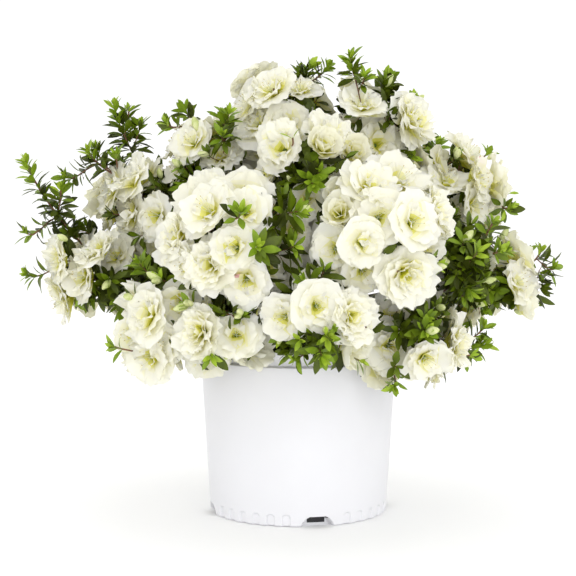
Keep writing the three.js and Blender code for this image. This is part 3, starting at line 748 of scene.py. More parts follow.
def direction(k, count, dice):
    """Even directions all round, from the top down."""
    height = 1 - ((k + 0.5) * 2) / count + dice.between(-HEIGHT_PLAY, HEIGHT_PLAY)
    turn = k * math.pi * (3 - math.sqrt(5)) + dice.between(-TURN_PLAY, TURN_PLAY)
    level = math.sqrt(max(0.0, 1 - height * height))
    return unit(np.array([level * math.cos(turn), level * math.sin(turn), height]))


def bloom_tips(mass, growth, tips, spread=1.0, is_fill=False):
    """Places for blooms and leaf tufts on the outside of a mass's space."""
    seed_step, sizes, tries, spacing, inset = growth
    dice = Dice(mass.seed + seed_step)
    for k in range(tries):
        out = direction(k, tries, dice)
        radius = dice.between(*sizes)
        chance = dice.next()
        place = mass.middle + out * (mass.radius - inset * radius)
        away = unit(place - HEART)
        facing = unit(out + away + UP * BLOOM_LIFT)
        lesser = FILL_PLENTY * mass.bloom**2 * (1 + max(0.0, facing[2]))
        blooms = chance < (lesser if is_fill else mass.bloom)
        tilt = mass.normals @ facing
        across = np.sqrt(np.maximum(0, 1 - tilt * tilt)) + BLOOM_DEPTH * np.abs(tilt)
        reaches = spread * radius * across
        for turn in range(WALL_TURNS):
            if not np.any(mass.normals @ (place - mass.middle) + reaches > mass.reaches):
                break
            for normal, reach, limit in zip(mass.normals, reaches, mass.reaches):
                over = (place - mass.middle) @ normal + reach - limit
                if over > 0:
                    place = place + normal * (-over - WALL_NUDGE)
        in_space = np.all(mass.normals @ (place - mass.middle) + reaches < mass.reaches)
        outside = (place - mass.middle) @ out > mass.radius * LEAST_OUT
        shows = (place - HEART) @ facing > 0
        spaced = all(
            math.dist(tip["place"], place) > spacing * (tip["radius"] + radius) for tip in tips
        )
        clear = clear_of_pot(place, radius * POT_KEEP) and clear_of_wood(place, radius * WOOD_KEEP)
        if in_space and outside and shows and spaced and clear and out[2] > LOWEST_OUT:
            tips.append({"place": place, "facing": facing, "radius": radius, "blooms": blooms})
    return tips


class Twig:
    """Thin wood along a curve, kinked where the solid twig is, from a root radius to a tip."""

    def __init__(self, line, steps, root, tip, length):
        self.line, self.steps, self.root, self.tip, self.length = line, steps, root, tip, length
        self.joints = [line(step / steps) for step in range(steps + 1)]

    def radius(self, t):
        return self.root + (self.tip - self.root) * t

    def at(self, t):
        """The place, heading and radius at a way along."""
        s = min(self.steps - 1, math.floor(t * self.steps))
        place = self.joints[s] + (self.joints[s + 1] - self.joints[s]) * (t * self.steps - s)
        return place, unit(self.joints[s + 1] - self.joints[s]), self.radius(t)


def twig_to(mass, nodes, end, facing):
    """Adds a twig to a mass, from earlier wood to a tip, if one can be kept clear."""
    choices = []
    for node in nodes:
        way = end - node[0]
        length = math.sqrt(way @ way)
        turn_back = 1 - (way @ node[1]) / max(length, 1e-6)
        choices.append((length * (1 + TURN_COST * turn_back), length, node))
    choices.sort(key=lambda choice: choice[0])
    for cost, length, (place, along, thick) in choices[:TWIG_TRIES]:
        line = bezier(place, place + along * (length * TWIG_BEND),
                      end - facing * (length * TWIG_BEND), end)
        steps = 1 + min(MOST_KINKS, math.floor(length / TWIG_STEP))
        root = min(thick / 2, TWIG_TIP_RADIUS + length * TWIG_GROWTH)
        twig = Twig(line, steps, root, TWIG_TIP_RADIUS, length)
        marks = [twig.at(t) for t in TWIG_CHECKS]
        if length > TWIG_SHORTEST and all(fits(mass, m[0], m[2] + TWIG_KEEP) for m in marks):
            nodes.extend(twig.at(t) for t in TWIG_FORKS)
            mass.twigs.append(twig)
            return twig
    return None


def grow(mass):
    """A mass's short stem, then its twigs to blooms and tufts, then its long shoots."""
    line, radius_at = limbs[mass.name]
    inward = heading(line, 1.0)
    start = line(1.0) + inward * GAP
    rise = mass.radius * STEM_RISE
    reach = math.dist(mass.middle, start) + rise
    end = mass.middle + UP * rise
    wood = Twig(bezier(start, start + inward * (reach / 2), end), 2, LIMB_TIP_RADIUS,
                LIMB_TIP_RADIUS * STEM_TAPER, reach)
    nodes = [wood.at(t) for t in STEM_FORKS]
    mass.wood, mass.twigs, mass.blooms, mass.tufts, mass.long_shoots = wood, [], [], [], []
    tips = bloom_tips(mass, BLOOM_TIPS, [])
    tips.sort(key=lambda tip: math.dist(tip["place"], end))
    for tip in tips:
        depth = BLOOM_SEAT if tip["blooms"] else TUFT_SEAT
        back = tip["place"] - tip["facing"] * (tip["radius"] * depth)
        twig = twig_to(mass, nodes, back, tip["facing"])
        if twig is not None and tip["blooms"]:
            mass.blooms.append((tip, twig))
        elif twig is not None:
            mass.tufts.append(twig)
    for bearing, rise, length in mass.shoots:
        bearing, rise = math.radians(bearing), math.radians(rise)
        way = np.array([math.cos(rise) * math.cos(bearing), math.cos(rise) * math.sin(bearing),
                        math.sin(rise)])
        twig = twig_to(mass, nodes, mass.middle + way * length, unit(way + UP * SHOOT_LIFT))
        if twig is not None:
            mass.long_shoots.append(twig)
    mass.nodes = nodes


for mass in masses:
    grow(mass)

# The finer growth: side shoots, smaller blooms between the first ones, leafy sprigs and inner
# twigs, each within the same spaces.

SIDE_SHOOT_SEED = 9000
SIDE_SHOOTS = (0.4, 0.6)
SIDE_SHOOT_REACH = 0.36
SIDE_SHOOT_LEAST = 60
SIDE_SHOOT_OUT = 0.75
SIDE_SHOOT_RISE = 0.3
ANY_TURN = 6.3
FILL_SPREAD = 0.5
TUFT_ROOM = 22
TUFT_RISE = 34
TUFT_THICKNESS = 2
BLOOM_NOD = 0.8
BLOOM_LEAN = 0.35
BLOOM_TURN = 0.34
BLOOM_TURN_SEED = 29
SPRIG_BACK = 10
SPRIG_EVERY = 2
THREAD_SIDES = 5
THREAD_STEP = 18
THREAD_STEPS_LEAST = 3
YOUNG_FROM = 0.8
SHOOT_STOUT = 1.7

# The crown in four parts, so that no one piece grows too heavy.
PARTS_OF_CROWN = {
    "top": ("top_centre", "top_left", "top_right", "centre", "back_top"),
    "left": ("far_left", "left_low", "left_upper", "centre_left", "front_low_left"),
    "right": ("centre_right", "right_low", "right_upper", "mid_right", "far_right", "front_low"),
    "back": ("back_right", "back_low", "back_left", "back_far_right"),
}
by_name = {mass.name: mass for mass in masses}


def twigs_to(mass, tips, back):
    """A fine twig to each tip that can be reached, ending a way behind it."""
    twigs = []
    for tip in tips:
        end = tip["place"] - tip["facing"] * back(tip["radius"])
        twig = twig_to(mass, mass.nodes, end, tip["facing"])
        if twig is not None:
            twigs.append((tip, twig))
    return twigs


def frame_on(facing, turn):
    """Three axes, the last along the facing, turned about it."""
    side = square_to(facing)
    other = np.cross(facing, side)
    return np.array([side * math.cos(turn) + other * math.sin(turn),
                     other * math.cos(turn) - side * math.sin(turn), facing])


def branch(mass, dice):
    """Shorter leafy shoots off the longest ones, and a longer reach for each leafy tuft."""
    for twig in list(mass.long_shoots):
        for t in SIDE_SHOOTS:
            node = twig.at(t)
            side = frame_on(node[1], dice.between(0, ANY_TURN))[0]
            way = unit(node[1] + side * SIDE_SHOOT_OUT + UP * SIDE_SHOOT_RISE)
            end = node[0] + way * (twig.length * SIDE_SHOOT_REACH)
            if twig.length > SIDE_SHOOT_LEAST:
                shoot = twig_to(mass, [node], end, unit(way + UP * SHOOT_LIFT))
                if shoot is not None:
                    mass.long_shoots.append(shoot)
    for index, twig in enumerate(mass.tufts):
        place, along, thick = twig.at(1.0)
        node = (place, along, thick * TUFT_THICKNESS)
        shoot = twig_to(mass, [node], place + along * TUFT_RISE, along)
        if shoot is not None:
            mass.tufts[index] = shoot


def fill_out(mass, taken):
    """Finer twigs to smaller blooms and leafy sprigs, in the gaps between the first ones."""
    count = len(taken)
    fills = bloom_tips(mass, FILL_TIPS, list(taken), FILL_SPREAD, True)[count:]
    reached = twigs_to(mass, fills, lambda radius: radius * BLOOM_SEAT)
    mass.fills = [(tip, twig) for tip, twig in reached if tip["blooms"]]
    taken += [tip for tip, twig in mass.fills]
    count = len(taken)
    sprigs = bloom_tips(mass, SPRIG_TIPS, list(taken))[count:]
    mass.sprigs = [twig for tip, twig in reached if not tip["blooms"]][::SPRIG_EVERY]
    mass.sprigs += [twig for tip, twig in twigs_to(mass, sprigs, lambda radius: SPRIG_BACK)]
    inner = bloom_tips(mass, INNER_TIPS, [])
    mass.inner = [twig for tip, twig in twigs_to(mass, inner, lambda radius: 0)]


def dress(piece, part):
    """Rides a piece of the crown on the shrub, in place of its masses."""
    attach(piece, "root")
    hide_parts(*["mass_" + name for name in PARTS_OF_CROWN[part]])


red_bark = mottled("twig_bark", (0.09, 0.035, 0.018), (0.24, 0.12, 0.06), 400.0, 0.5,
                   Roughness=0.7)
green_bark = mottled("young_twig_bark", (0.1, 0.09, 0.025), (0.2, 0.17, 0.05), 400.0, 0.4,
                     Roughness=0.65)
taken = [tip for mass in masses for tip, twig in mass.blooms]
taken += [{"place": twig.joints[-1], "radius": TUFT_ROOM}
          for mass in masses for twig in mass.tufts]
for mass in masses:
    branch(mass, Dice(mass.seed + SIDE_SHOOT_SEED))
    fill_out(mass, taken)
turning = np.random.default_rng(BLOOM_TURN_SEED)
for mass in masses:
    for tip, twig in mass.blooms + mass.fills:
        outward = unit((tip["place"] - HEART) * (1, 1, 0)) * BLOOM_LEAN
        way = tip["facing"] * (1, 1, BLOOM_NOD) + outward
        way = way + turning.uniform(-BLOOM_TURN, BLOOM_TURN, 3)
        tip["facing"] = unit(way)
        tip["place"] = twig.joints[-1] + tip["facing"] * (tip["radius"] * BLOOM_SEAT)
for part, names in PARTS_OF_CROWN.items():
    wood = Parts()
    for name in names:
        mass = by_name[name]
        for twig in [mass.wood, *mass.twigs]:
            steps = THREAD_STEPS_LEAST + int(twig.length / THREAD_STEP)
            stout = SHOOT_STOUT if twig in mass.long_shoots else 1.0
            shape = rod(twig.line, lambda t, angle, twig=twig, stout=stout: twig.radius(t) * stout,
                        THREAD_SIDES, steps)
            young = np.repeat(np.arange(steps + 1) > steps * YOUNG_FROM, THREAD_SIDES)
            wood.add(*shape, young if twig in mass.long_shoots else 0)
    dress(wood.piece("twigs_" + part, [red_bark, green_bark]), part)


# Leaves: small and leathery, narrow at the stalk, widest just past the middle and pointed,
# folded a little along the midrib. They stand in spirals on the long shoots and round each tip.

# Stations of one leaf: the way along it, its half width there, both as shares.
LEAF_STATIONS = [(0, 0.07), (0.14, 0.28), (0.36, 0.8), (0.58, 1.0), (0.79, 0.74), (0.92, 0.36)]
LEAF_SLENDER = 0.176
LEAF_FOLD = 0.3
LEAF_CURL = (-0.02, 0.3)
FIRST_TURN = 6
GOLDEN_TURN = 2.39996
AGE_AND_SHADE_TONES = 5
# How far a leaf strays: its turn, its opening in degrees, its length, tone for age and shade,
# facing and width.
TURN_STRAY = 0.25
OPEN_STRAY = 9
LENGTH_STRAY = (0.78, 1.12)
AGE_AND_SHADE_STRAY = 0.7
FACE_STRAY = 0.35
WIDTH_STRAY = (0.85, 1.2)
# The bowl of a bloom, as shares of its radius: its depth, a margin under it and its height.
BOWL_DEPTH = 0.5
BOWL_MARGIN = 0.06
BOWL_HEIGHT = 0.5
LEAF_SEED = 300
# Leaves all along a twig, from the first to the last: how far they open in degrees, how long
# they are, and their tones from 0, darkest, painted shade on old leaves deep in the crown,
# through 1, old, to 4, pale and young.
SHOOT_LEAVES = ((88, 44), (27, 20), (0.6, 3.4))
SHOOT_TIP_LEAVES = ((42, 14), (17, 12), (3.6, 4))
SHOOT_TIP_COUNT = 6
SHOOT_BARE = 0.16
SHOOT_END = 0.97
SHOOT_PITCH = 2.1
# Old leaves on the inner twigs take the two darkest tones: their age, and painted shade inside the
# crown.
OLD_LEAVES = ((85, 60), (28, 26), (0, 1))
OLD_STRETCH = (0.3, 0.8)
OLD_PITCH = 9
OLD_TWIG_LEAST = 26
# Leaves round a twig's tip: the stretch that they take, the least length that a twig counts
# as, how many they are, then the same three ranges.
TUFT_LEAVES = (30, 34, 24, (92, 16), (34, 17), (0.6, 3.9))
SPRIG_LEAVES = [(14, 20, 14, (88, 22), (30, 16), ages_and_shade) for ages_and_shade in
                [(0.4, 2.2), (0.8, 3.8), (0.2, 1.6)]]
# Inner leaves take mostly the darkest tone, painted shade at the heart of each mass.
INNER_LEAVES = (24, 30, 11, (95, 35), (31, 26), (0, 0.8))
BLOOM_LEAVES = (18, 24, 6, (104, 84), (30, 25), (0.6, 2.2))
BLOOM_LEAVES_END = 0.9


def leaf_template():
    """The places of one leaf as way along, across and lift, and its faces."""
    places = [(t, s * width, abs(s) * width) for t, width in LEAF_STATIONS for s in (-1, 0, 1)]
    faces = []
    for station in range(len(LEAF_STATIONS) - 1):
        for half in (0, 1):
            a = 3 * station + half
            faces += [(a, a + 1, a + 4), (a, a + 4, a + 3)]
    last = 3 * (len(LEAF_STATIONS) - 1)
    places.append((1.0, 0.0, 0.0))
    faces += [(last, last + 1, last + 3), (last + 1, last + 2, last + 3)]
    return np.array(places), np.array(faces)


all_blooms = [tip for mass in masses for tip, twig in mass.blooms + mass.fills]
bloom_places = np.array([tip["place"] for tip in all_blooms])
bloom_facings = np.array([tip["facing"] for tip in all_blooms])
bloom_radii = np.array([tip["radius"] for tip in all_blooms])


def in_a_bloom(places):
    """Which places lie in the bowl of a bloom, where no leaf may come through."""
    off = (np.asarray(places)[:, None] - bloom_places) / bloom_radii[:, None]
    above = (off * bloom_facings).sum(axis=2)
    out = np.sqrt(np.maximum(0, (off * off).sum(axis=2) - above**2))
    bowl = (out < 1.0) & (above > -BOWL_DEPTH * (1 - out) - BOWL_MARGIN) & (above < BOWL_HEIGHT)
    return bowl.any(axis=1)


class Leaves:
    """Leaves noted one by one, then built together, except those that a bloom would hide."""

    def __init__(self, dice):
        self.dice = dice
        self.rows = []

    def spiral(self, twig, first, last, count, open_range, size_range, ages_and_shade):
        """Leaves up a twig: opened wide and long at the first, upright and small at the last."""
        dice = self.dice
        turn = dice.uniform(0, FIRST_TURN)
        for k in range(count):
            share = k / max(1, count - 1)
            t = first + (last - first) * share
            place, along = twig.line(t), heading(twig.line, t)
            side = square_to(along)
            other = np.cross(along, side)
            angle = turn + k * GOLDEN_TURN + dice.uniform(-TURN_STRAY, TURN_STRAY)
            out = side * math.cos(angle) + other * math.sin(angle)
            opened = np.interp(share, (0, 1), open_range) + dice.uniform(-OPEN_STRAY, OPEN_STRAY)
            opened = math.radians(opened)
            way = unit(along * math.cos(opened) + out * math.sin(opened))
            length = np.interp(share, (0, 1), size_range) * dice.uniform(*LENGTH_STRAY)
            # A leaf's tone stands for its age, and its darkest tone for painted shade.
            age_and_shade = np.interp(share, (0, 1), ages_and_shade) + dice.uniform(-AGE_AND_SHADE_STRAY, AGE_AND_SHADE_STRAY)
            face = unit(along + dice.uniform(-FACE_STRAY, FACE_STRAY, 3))
            self.rows.append((place, way, face, length, int(np.clip(round(age_and_shade), 0, AGE_AND_SHADE_TONES - 1))))

    def cluster(self, twig, kind, end=1.0):
        """Leaves round a twig's tip, as the kind's row says."""
        stretch, least, count, open_range, size_range, ages_and_shade = kind
        start = 1 - stretch / max(least, twig.length)
        self.spiral(twig, start, end, count, open_range, size_range, ages_and_shade)

    def piece(self, name, materials):
        """All the leaves as one piece, each a copy of the template in its own place."""
        ends = in_a_bloom([row[0] + row[1] * row[3] for row in self.rows])
        bellies = in_a_bloom([row[0] + row[1] * (row[3] / 2) for row in self.rows])
        self.rows = [row for row, end, belly in zip(self.rows, ends, bellies)
                     if not (end or belly)]
        template, faces = leaf_template()
        place, way, face = (np.array([row[k] for row in self.rows]) for k in range(3))
        length = np.array([row[3] for row in self.rows])[:, None, None]
        side = np.cross(way, face)
        side /= np.linalg.norm(side, axis=1)[:, None]
        over = np.cross(side, way)
        half = length * LEAF_SLENDER * self.dice.uniform(*WIDTH_STRAY, length.shape)
        curl = self.dice.uniform(*LEAF_CURL, length.shape)
        t, s, lift = (template[None, :, k, None] for k in range(3))
        places = (place[:, None] + way[:, None] * length * t + side[:, None] * half * s
                  + over[:, None] * (half * LEAF_FOLD * lift - length * curl * t * t))
        count = len(self.rows)
        starts = np.arange(count)[:, None, None] * len(template)
        kinds = np.repeat([row[4] for row in self.rows], len(faces))
        return piece_of(name, places.reshape(-1, 3), (faces[None] + starts).reshape(-1, 3),
                        materials, kinds)


# Leaf tones from darkest to palest: shaded_leaf is painted shade, the others are the leaves' own
# greens from old to young.
leaf_greens = [
    mottled(name, dark, light, 120.0, 0.2, Roughness=rough, Specular_IOR_Level=shine)
    for name, dark, light, rough, shine in [
        ("shaded_leaf", (0.026, 0.034, 0.001), (0.048, 0.064, 0.003), 0.55, 0.25),
        ("old_leaf", (0.052, 0.074, 0.001), (0.09, 0.126, 0.003), 0.46, 0.3),
        ("grown_leaf", (0.09, 0.14, 0.002), (0.14, 0.205, 0.005), 0.44, 0.3),
        ("fresh_leaf", (0.16, 0.25, 0.01), (0.225, 0.34, 0.018), 0.44, 0.3),
        ("tip_leaf", (0.27, 0.4, 0.02), (0.37, 0.5, 0.038), 0.46, 0.3),
    ]
]
for index, (part, names) in enumerate(PARTS_OF_CROWN.items()):
    leaves = Leaves(np.random.default_rng(LEAF_SEED + index))
    for name in names:
        mass = by_name[name]
        for twig in mass.long_shoots:
            count = int(twig.length * (1 - SHOOT_BARE) / SHOOT_PITCH)
            leaves.spiral(twig, SHOOT_BARE, SHOOT_END, count, *SHOOT_LEAVES)
            leaves.spiral(twig, SHOOT_END, 1.0, SHOOT_TIP_COUNT, *SHOOT_TIP_LEAVES)
        for twig in mass.tufts:
            leaves.cluster(twig, TUFT_LEAVES)
        for n, twig in enumerate(mass.sprigs):
            leaves.cluster(twig, SPRIG_LEAVES[n % len(SPRIG_LEAVES)])
        for twig in mass.inner:
            leaves.cluster(twig, INNER_LEAVES)
        for tip, twig in mass.blooms + mass.fills:
            leaves.cluster(twig, BLOOM_LEAVES, BLOOM_LEAVES_END)
        for twig in mass.twigs:
            if twig.length > OLD_TWIG_LEAST:
                leaves.spiral(twig, *OLD_STRETCH, int(twig.length / OLD_PITCH), *OLD_LEAVES)
    dress(leaves.piece("leaves_" + part, leaf_greens), part)


# Blossom: double white blooms, each of several whorls of broad wavy petals round a yellow-green
# throat. Some are still cups, and plump pale buds wait among them.

# Each whorl: petals, then out and up controls of its midline, half width, cupping and ruffle,
# all as shares of the bloom's radius.
OPEN_WHORLS = [
    (5, (0.04, 0.34, 1.04), (-0.45, 0.02, -0.04), 0.68, 0.03, 0.08),
    (5, (0.04, 0.3, 0.84), (-0.45, 0.06, 0.1), 0.56, 0.06, 0.09),
    (4, (0.03, 0.22, 0.6), (-0.45, 0.08, 0.17), 0.38, 0.06, 0.12),
    (3, (0.03, 0.14, 0.34), (-0.42, 0.04, 0.16), 0.2, 0.08, 0.12),
]
DOUBLE_WHORLS = [
    (6, (0.05, 0.4, 1.02), (-0.45, -0.02, -0.06), 0.6, 0.03, 0.09),
    (6, (0.05, 0.36, 0.88), (-0.45, 0.04, 0.08), 0.52, 0.06, 0.1),
    (5, (0.05, 0.28, 0.66), (-0.45, 0.1, 0.2), 0.42, 0.08, 0.1),
    (5, (0.04, 0.18, 0.42), (-0.45, 0.12, 0.28), 0.3, 0.1, 0.1),
    (3, (0.03, 0.1, 0.22), (-0.42, 0.12, 0.32), 0.2, 0.12, 0.08),
]
FUNNEL_WHORLS = [
    (5, (0.04, 0.3, 1.05), (-0.48, 0.02, 0.0), 0.7, 0.03, 0.07),
    (5, (0.04, 0.26, 0.82), (-0.46, 0.07, 0.12), 0.56, 0.05, 0.08),
    (3, (0.03, 0.16, 0.48), (-0.45, 0.06, 0.18), 0.24, 0.06, 0.12),
]
CUP_WHORLS = [
    (5, (0.05, 0.52, 0.74), (-0.45, -0.12, 0.4), 0.5, 0.28, 0.06),
    (5, (0.05, 0.44, 0.54), (-0.45, -0.06, 0.42), 0.42, 0.3, 0.06),
    (5, (0.04, 0.3, 0.34), (-0.45, 0.0, 0.42), 0.3, 0.3, 0.05),
    (3, (0.03, 0.14, 0.14), (-0.42, 0.0, 0.4), 0.2, 0.3, 0.04),
]
BLOOM_KINDS = [OPEN_WHORLS, FUNNEL_WHORLS, FUNNEL_WHORLS, OPEN_WHORLS, DOUBLE_WHORLS,
               FUNNEL_WHORLS, OPEN_WHORLS]
KIND_STEP = 3
CUP_SHARE = 0.12
# A petal's rows out and columns across, and up to which half width it is a small one.
WIDE_PETAL = (8, 13)
LESSER_PETAL = (5, 9)
SMALL_PETAL = (5, 7)
SMALL_WIDTH = 0.33
ROWS_CLOSE_UP = 0.9
# A petal's outline: its claw at the foot, where it is widest, how its tip narrows and rounds,
# and the nick in the tip.
CLAW = 0.16
WIDEST = 0.66
TIP_NARROWS = 0.42
TIP_ROUNDS = 0.2
NICK_DEPTH = 0.05
NICK_WIDTH = 0.16
FRILL = 1.25
FRILL_STRAY = (0.7, 1.3)
FRILL_PACE = (0.9, 1.6)
FRILLS = 2.2
FRILL_SHARES = (0.7, 0.55)
FRILL_OUT = 0.3
FRILL_ACROSS = 0.05
DROOP = (-0.19, 0.17)
PETAL_REACH = 1.16
PETAL_SIZES = (0.82, 1.08)
PETAL_STRAY = 0.26
WHORL_LEAN = 0.17
WHORL_STRAY = 0.15
PINK_CHANCE = 0.012
SPENT_CHANCE = 0.04
ODD_EDGE = (1, 4)
SMALL_SIDES = 7
CALYX_STEPS = 3
CALYX_REACH = 4
CALYX_FOOT = 1.1
CALYX_FLARE = 1.5
STAMENS = 5
STAMEN_SIDES = 3
FILAMENT_STEPS = 3
ANTHER_STEPS = 2
STAMEN_TURN = 1.05
STAMEN_FOOT = 0.3
STAMEN_OUT = (0.1, 0.3)
STAMEN_UP = (0.2, 0.4)
FILAMENT_BEND = 1.2
FILAMENT_RADIUS = 0.35
ANTHER_LENGTH = 1.6
ANTHER_RADIUS = 0.5
BUD_PLUMPNESS = 0.27
BUD_ROUNDS = (0.1, 0.96)
BUD_FULLNESS = 0.8
BUDS_BY_BLOOMS = 0.35
BLOOM_BUD_LEAN = 0.5
BLOOM_BUD_OUT = 1.02
BLOOM_BUD_BACK = 9
BLOOM_BUD_LENGTHS = (12, 19)
BUDS_ON_TUFTS = (0, 2, 0, 1, 0, 0)
TUFT_BUD_STRAY = 0.6
TUFT_BUD_LENGTHS = (13, 20)
BLOOM_SEED = 700
# How far out on a petal each tone ends: throat, lime, cream, ivory, then white. The tones move
# out a little in each inner whorl.
PETAL_TONE_ENDS = (0.1, 0.24, 0.38, 0.54)
TONE_SHIFT = 0.05
TONE_STRAY = (-0.06, 0.1)
PETAL_THINNESS = 0.3
THROAT_TONE, LIME_TONE, CREAM_TONE, IVORY_TONE, WHITE_TONE, PINK_TONE, SPENT_TONE = range(7)
BUD_TONE, CALYX_TONE, FILAMENT_TONE, ANTHER_TONE = range(7, 11)


def petal(whorl, dice, wide_petal):
    """One petal along +X: its places on a grid of rows out and columns across."""
    count, out_line, up_line, width, cup, ruffle = whorl
    ruffle = ruffle * FRILL * dice.uniform(*FRILL_STRAY)
    rows, columns = wide_petal if width > SMALL_WIDTH else SMALL_PETAL
    v = np.linspace(0, 1, rows)[:, None] ** ROWS_CLOSE_UP
    u = np.linspace(-1, 1, columns)[None, :]
    nick = NICK_DEPTH * np.exp(-((u / NICK_WIDTH) ** 2))
    reach = v * (1 - TIP_ROUNDS * u * u * v - nick * v)
    out, up = (a * (1 - reach) ** 2 + 2 * b * (1 - reach) * reach + c * reach**2
               for a, b, c in (out_line, up_line))
    half = width * (CLAW + (1 - CLAW) * np.sin(math.pi / 2 * np.minimum(1, v / WIDEST)))
    past_widest = np.clip((v - WIDEST) / (1 - WIDEST), 0, 1)
    half = half * np.sqrt(1 - TIP_NARROWS * past_widest**2)
    edge = np.maximum(v**3, u * u * v)
    phase = dice.uniform(0, ANY_TURN, 3)
    pace = dice.uniform(*FRILL_PACE, 2)
    wave = FRILL_SHARES[0] * np.sin(u * math.pi * pace[0] + phase[0] + v)
    wave = wave + FRILL_SHARES[1] * np.sin(u * math.pi * pace[1] * FRILLS + phase[1])
    up = up + cup * half * u * u + ruffle * edge * wave
    out = out + FRILL_OUT * ruffle * edge * np.sin(u * math.pi * pace[1] * FRILLS + phase[2])
    across = u * half * (1 + FRILL_ACROSS * wave * edge)
    up = up + dice.uniform(*DROOP) * reach * reach
    return np.stack([out, across + 0 * out, up], axis=-1).reshape(-1, 3), rows, columns


def petal_tones(rows, columns, shift, odd, spread):
    """Which tone each face takes, from the throat outward, with an odd one at one edge."""
    place = (np.arange(rows - 1) + 0.5) / (rows - 1) - shift
    tones = np.repeat(np.searchsorted(PETAL_TONE_ENDS, place), columns - 1).reshape(-1, columns - 1)
    if odd is not None:
        tones[rows // 2:, :spread] = odd
    return tones.ravel()


def bloom(blossom, tip, whorls, dice, spent, wide_petal=WIDE_PETAL):
    """Adds one bloom: its whorls of petals, its stamens and its calyx."""
    turn = dice.uniform(0, 2 * math.pi)
    for depth, whorl in enumerate(whorls):
        count = whorl[0]
        leaning = unit(tip["facing"] + dice.uniform(-WHORL_LEAN, WHORL_LEAN, 3))
        turn += math.pi / count + dice.uniform(-WHORL_STRAY, WHORL_STRAY)
        odd_petal = dice.integers(count) if dice.uniform() < PINK_CHANCE else -1
        for n in range(count):
            places, rows, columns = petal(whorl, dice, wide_petal)
            stray = dice.uniform(-PETAL_STRAY, PETAL_STRAY)
            axes = frame_on(leaning, turn + n * 2 * math.pi / count + stray)
            size = tip["radius"] * PETAL_REACH * dice.uniform(*PETAL_SIZES)
            odd = PINK_TONE if n == odd_petal else None
            if spent and depth == 0 and n == 0:
                odd = SPENT_TONE
            shift = TONE_SHIFT * depth + dice.uniform(*TONE_STRAY)
            tones = petal_tones(rows, columns, shift, odd, dice.integers(*ODD_EDGE))
            blossom.add(tip["place"] + (places * size) @ axes,
                        grid_faces(rows, columns, closed=False), tones)
    base = tip["place"] - tip["facing"] * (tip["radius"] * BLOOM_SEAT)
    cone = bezier(base - tip["facing"] * CALYX_REACH, base, base + tip["facing"] * CALYX_REACH)
    calyx = rod(cone, lambda t, angle: CALYX_FOOT + CALYX_FLARE * t, SMALL_SIDES, CALYX_STEPS)
    blossom.add(*calyx, CALYX_TONE)
    if whorls is FUNNEL_WHORLS:
        for n in range(STAMENS):
            axes = frame_on(tip["facing"], n * STAMEN_TURN + turn)
            start = tip["place"] - tip["facing"] * (tip["radius"] * STAMEN_FOOT)
            reach = np.array([dice.uniform(*STAMEN_OUT), 0, dice.uniform(*STAMEN_UP)])
            end = tip["place"] + (reach * tip["radius"]) @ axes
            line = bezier(start, (start + end) / 2 + axes[0] * FILAMENT_BEND, end)
            filament = rod(line, lambda t, angle: FILAMENT_RADIUS, STAMEN_SIDES, FILAMENT_STEPS)
            blossom.add(*filament, FILAMENT_TONE)
            top = end + axes[2] * ANTHER_LENGTH
            line = bezier(end, (end + top) / 2, top)
            anther = rod(line, lambda t, angle: ANTHER_RADIUS, STAMEN_SIDES, ANTHER_STEPS)
            blossom.add(*anther, ANTHER_TONE)


def bud(blossom, start, way, length):
    """Adds one plump bud on a short stalk."""
    first, last = BUD_ROUNDS

    def radius(t, angle):
        share = math.sin(math.pi * (first + (last - first) * t)) ** BUD_FULLNESS
        return length * BUD_PLUMPNESS * share

    line = bezier(start, start + way * (length / 2), start + way * length)
    blossom.add(*rod(line, radius, SMALL_SIDES, SMALL_SIDES), BUD_TONE)


def petal_finish(name, dark, light, glow):
    """A petal's tone, thin enough for some light to come through it."""
    material = mottled(name, dark, light, 200.0, 0.2, Roughness=0.6)
    nodes = material.node_tree.nodes
    wire = Wire(material.node_tree)
    face = Wire(material.node_tree, nodes["Principled BSDF"].outputs[0])
    behind = wire.node("ShaderNodeBsdfTranslucent", sockets={"Color": (*glow, 1)})
    thin = wire.node("ShaderNodeMixShader", sockets={0: PETAL_THINNESS, 1: face, 2: behind})
    thin.into(nodes["Material Output"], "Surface")
    return material


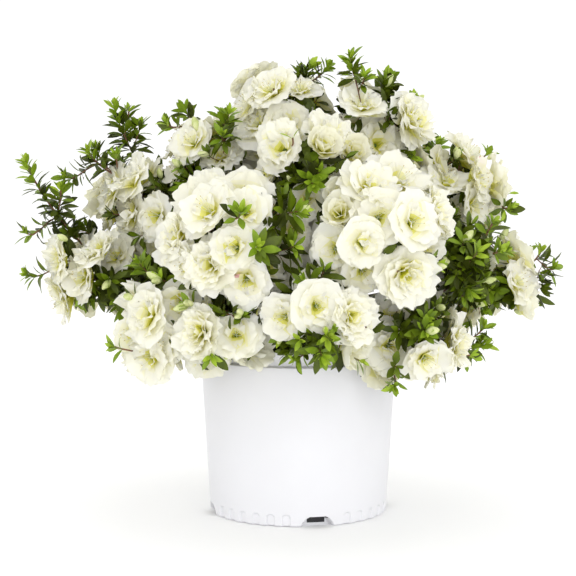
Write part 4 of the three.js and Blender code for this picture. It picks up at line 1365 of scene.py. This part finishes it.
petal_finishes = [
    petal_finish("petal_throat", (0.56, 0.56, 0.04), (0.72, 0.72, 0.08), (0.8, 0.8, 0.06)),
    petal_finish("petal_lime", (0.85, 0.83, 0.2), (0.9, 0.88, 0.32), (0.93, 0.9, 0.16)),
    petal_finish("petal_cream", (0.93, 0.91, 0.52), (0.95, 0.93, 0.64), (0.97, 0.94, 0.34)),
    petal_finish("petal_ivory", (0.95, 0.935, 0.76), (0.965, 0.955, 0.83), (0.98, 0.95, 0.54)),
    petal_finish("petal_white", (0.96, 0.95, 0.875), (0.975, 0.972, 0.93), (0.985, 0.962, 0.66)),
    petal_finish("petal_pink", (0.75, 0.35, 0.4), (0.85, 0.6, 0.62), (0.9, 0.5, 0.55)),
    mottled("petal_spent", (0.12, 0.05, 0.02), (0.3, 0.14, 0.05), 200.0, 0.4, Roughness=0.8),
    mottled("bud_skin", (0.5, 0.57, 0.2), (0.72, 0.75, 0.4), 200.0, 0.2, Roughness=0.55),
    mottled("calyx_green", (0.1, 0.16, 0.03), (0.16, 0.24, 0.05), 200.0, 0.2, Roughness=0.6),
    finish("filament_white", Base_Color=(0.78, 0.8, 0.6, 1), Roughness=0.6)[0],
    finish("anther_straw", Base_Color=(0.62, 0.5, 0.16, 1), Roughness=0.8)[0],
]
for index, (part, names) in enumerate(PARTS_OF_CROWN.items()):
    dice = np.random.default_rng(BLOOM_SEED + index)
    blossom = Parts()
    for name in names:
        mass = by_name[name]
        for n, (tip, twig) in enumerate(mass.blooms):
            kind = BLOOM_KINDS[(n * KIND_STEP + index) % len(BLOOM_KINDS)]
            bloom(blossom, tip, kind, dice, dice.uniform() < SPENT_CHANCE)
        for tip, twig in mass.fills:
            kind = CUP_WHORLS if dice.uniform() < CUP_SHARE else FUNNEL_WHORLS
            bloom(blossom, tip, kind, dice, dice.uniform() < SPENT_CHANCE, LESSER_PETAL)
        for tip, twig in mass.blooms:
            if dice.uniform() < BUDS_BY_BLOOMS:
                aside = frame_on(tip["facing"], dice.uniform(0, ANY_TURN))[0]
                way = unit(tip["facing"] + aside * BLOOM_BUD_LEAN)
                start = tip["place"] + aside * (tip["radius"] * BLOOM_BUD_OUT)
                start = start - tip["facing"] * BLOOM_BUD_BACK
                bud(blossom, start, way, dice.uniform(*BLOOM_BUD_LENGTHS))
        for twig in mass.tufts + mass.sprigs:
            for n in range(BUDS_ON_TUFTS[dice.integers(len(BUDS_ON_TUFTS))]):
                stray = dice.uniform(-TUFT_BUD_STRAY, TUFT_BUD_STRAY, 3)
                way = unit(heading(twig.line, 1.0) + stray)
                bud(blossom, twig.line(1.0), way, dice.uniform(*TUFT_BUD_LENGTHS))
    dress(blossom.piece("blossom_" + part, petal_finishes), part)
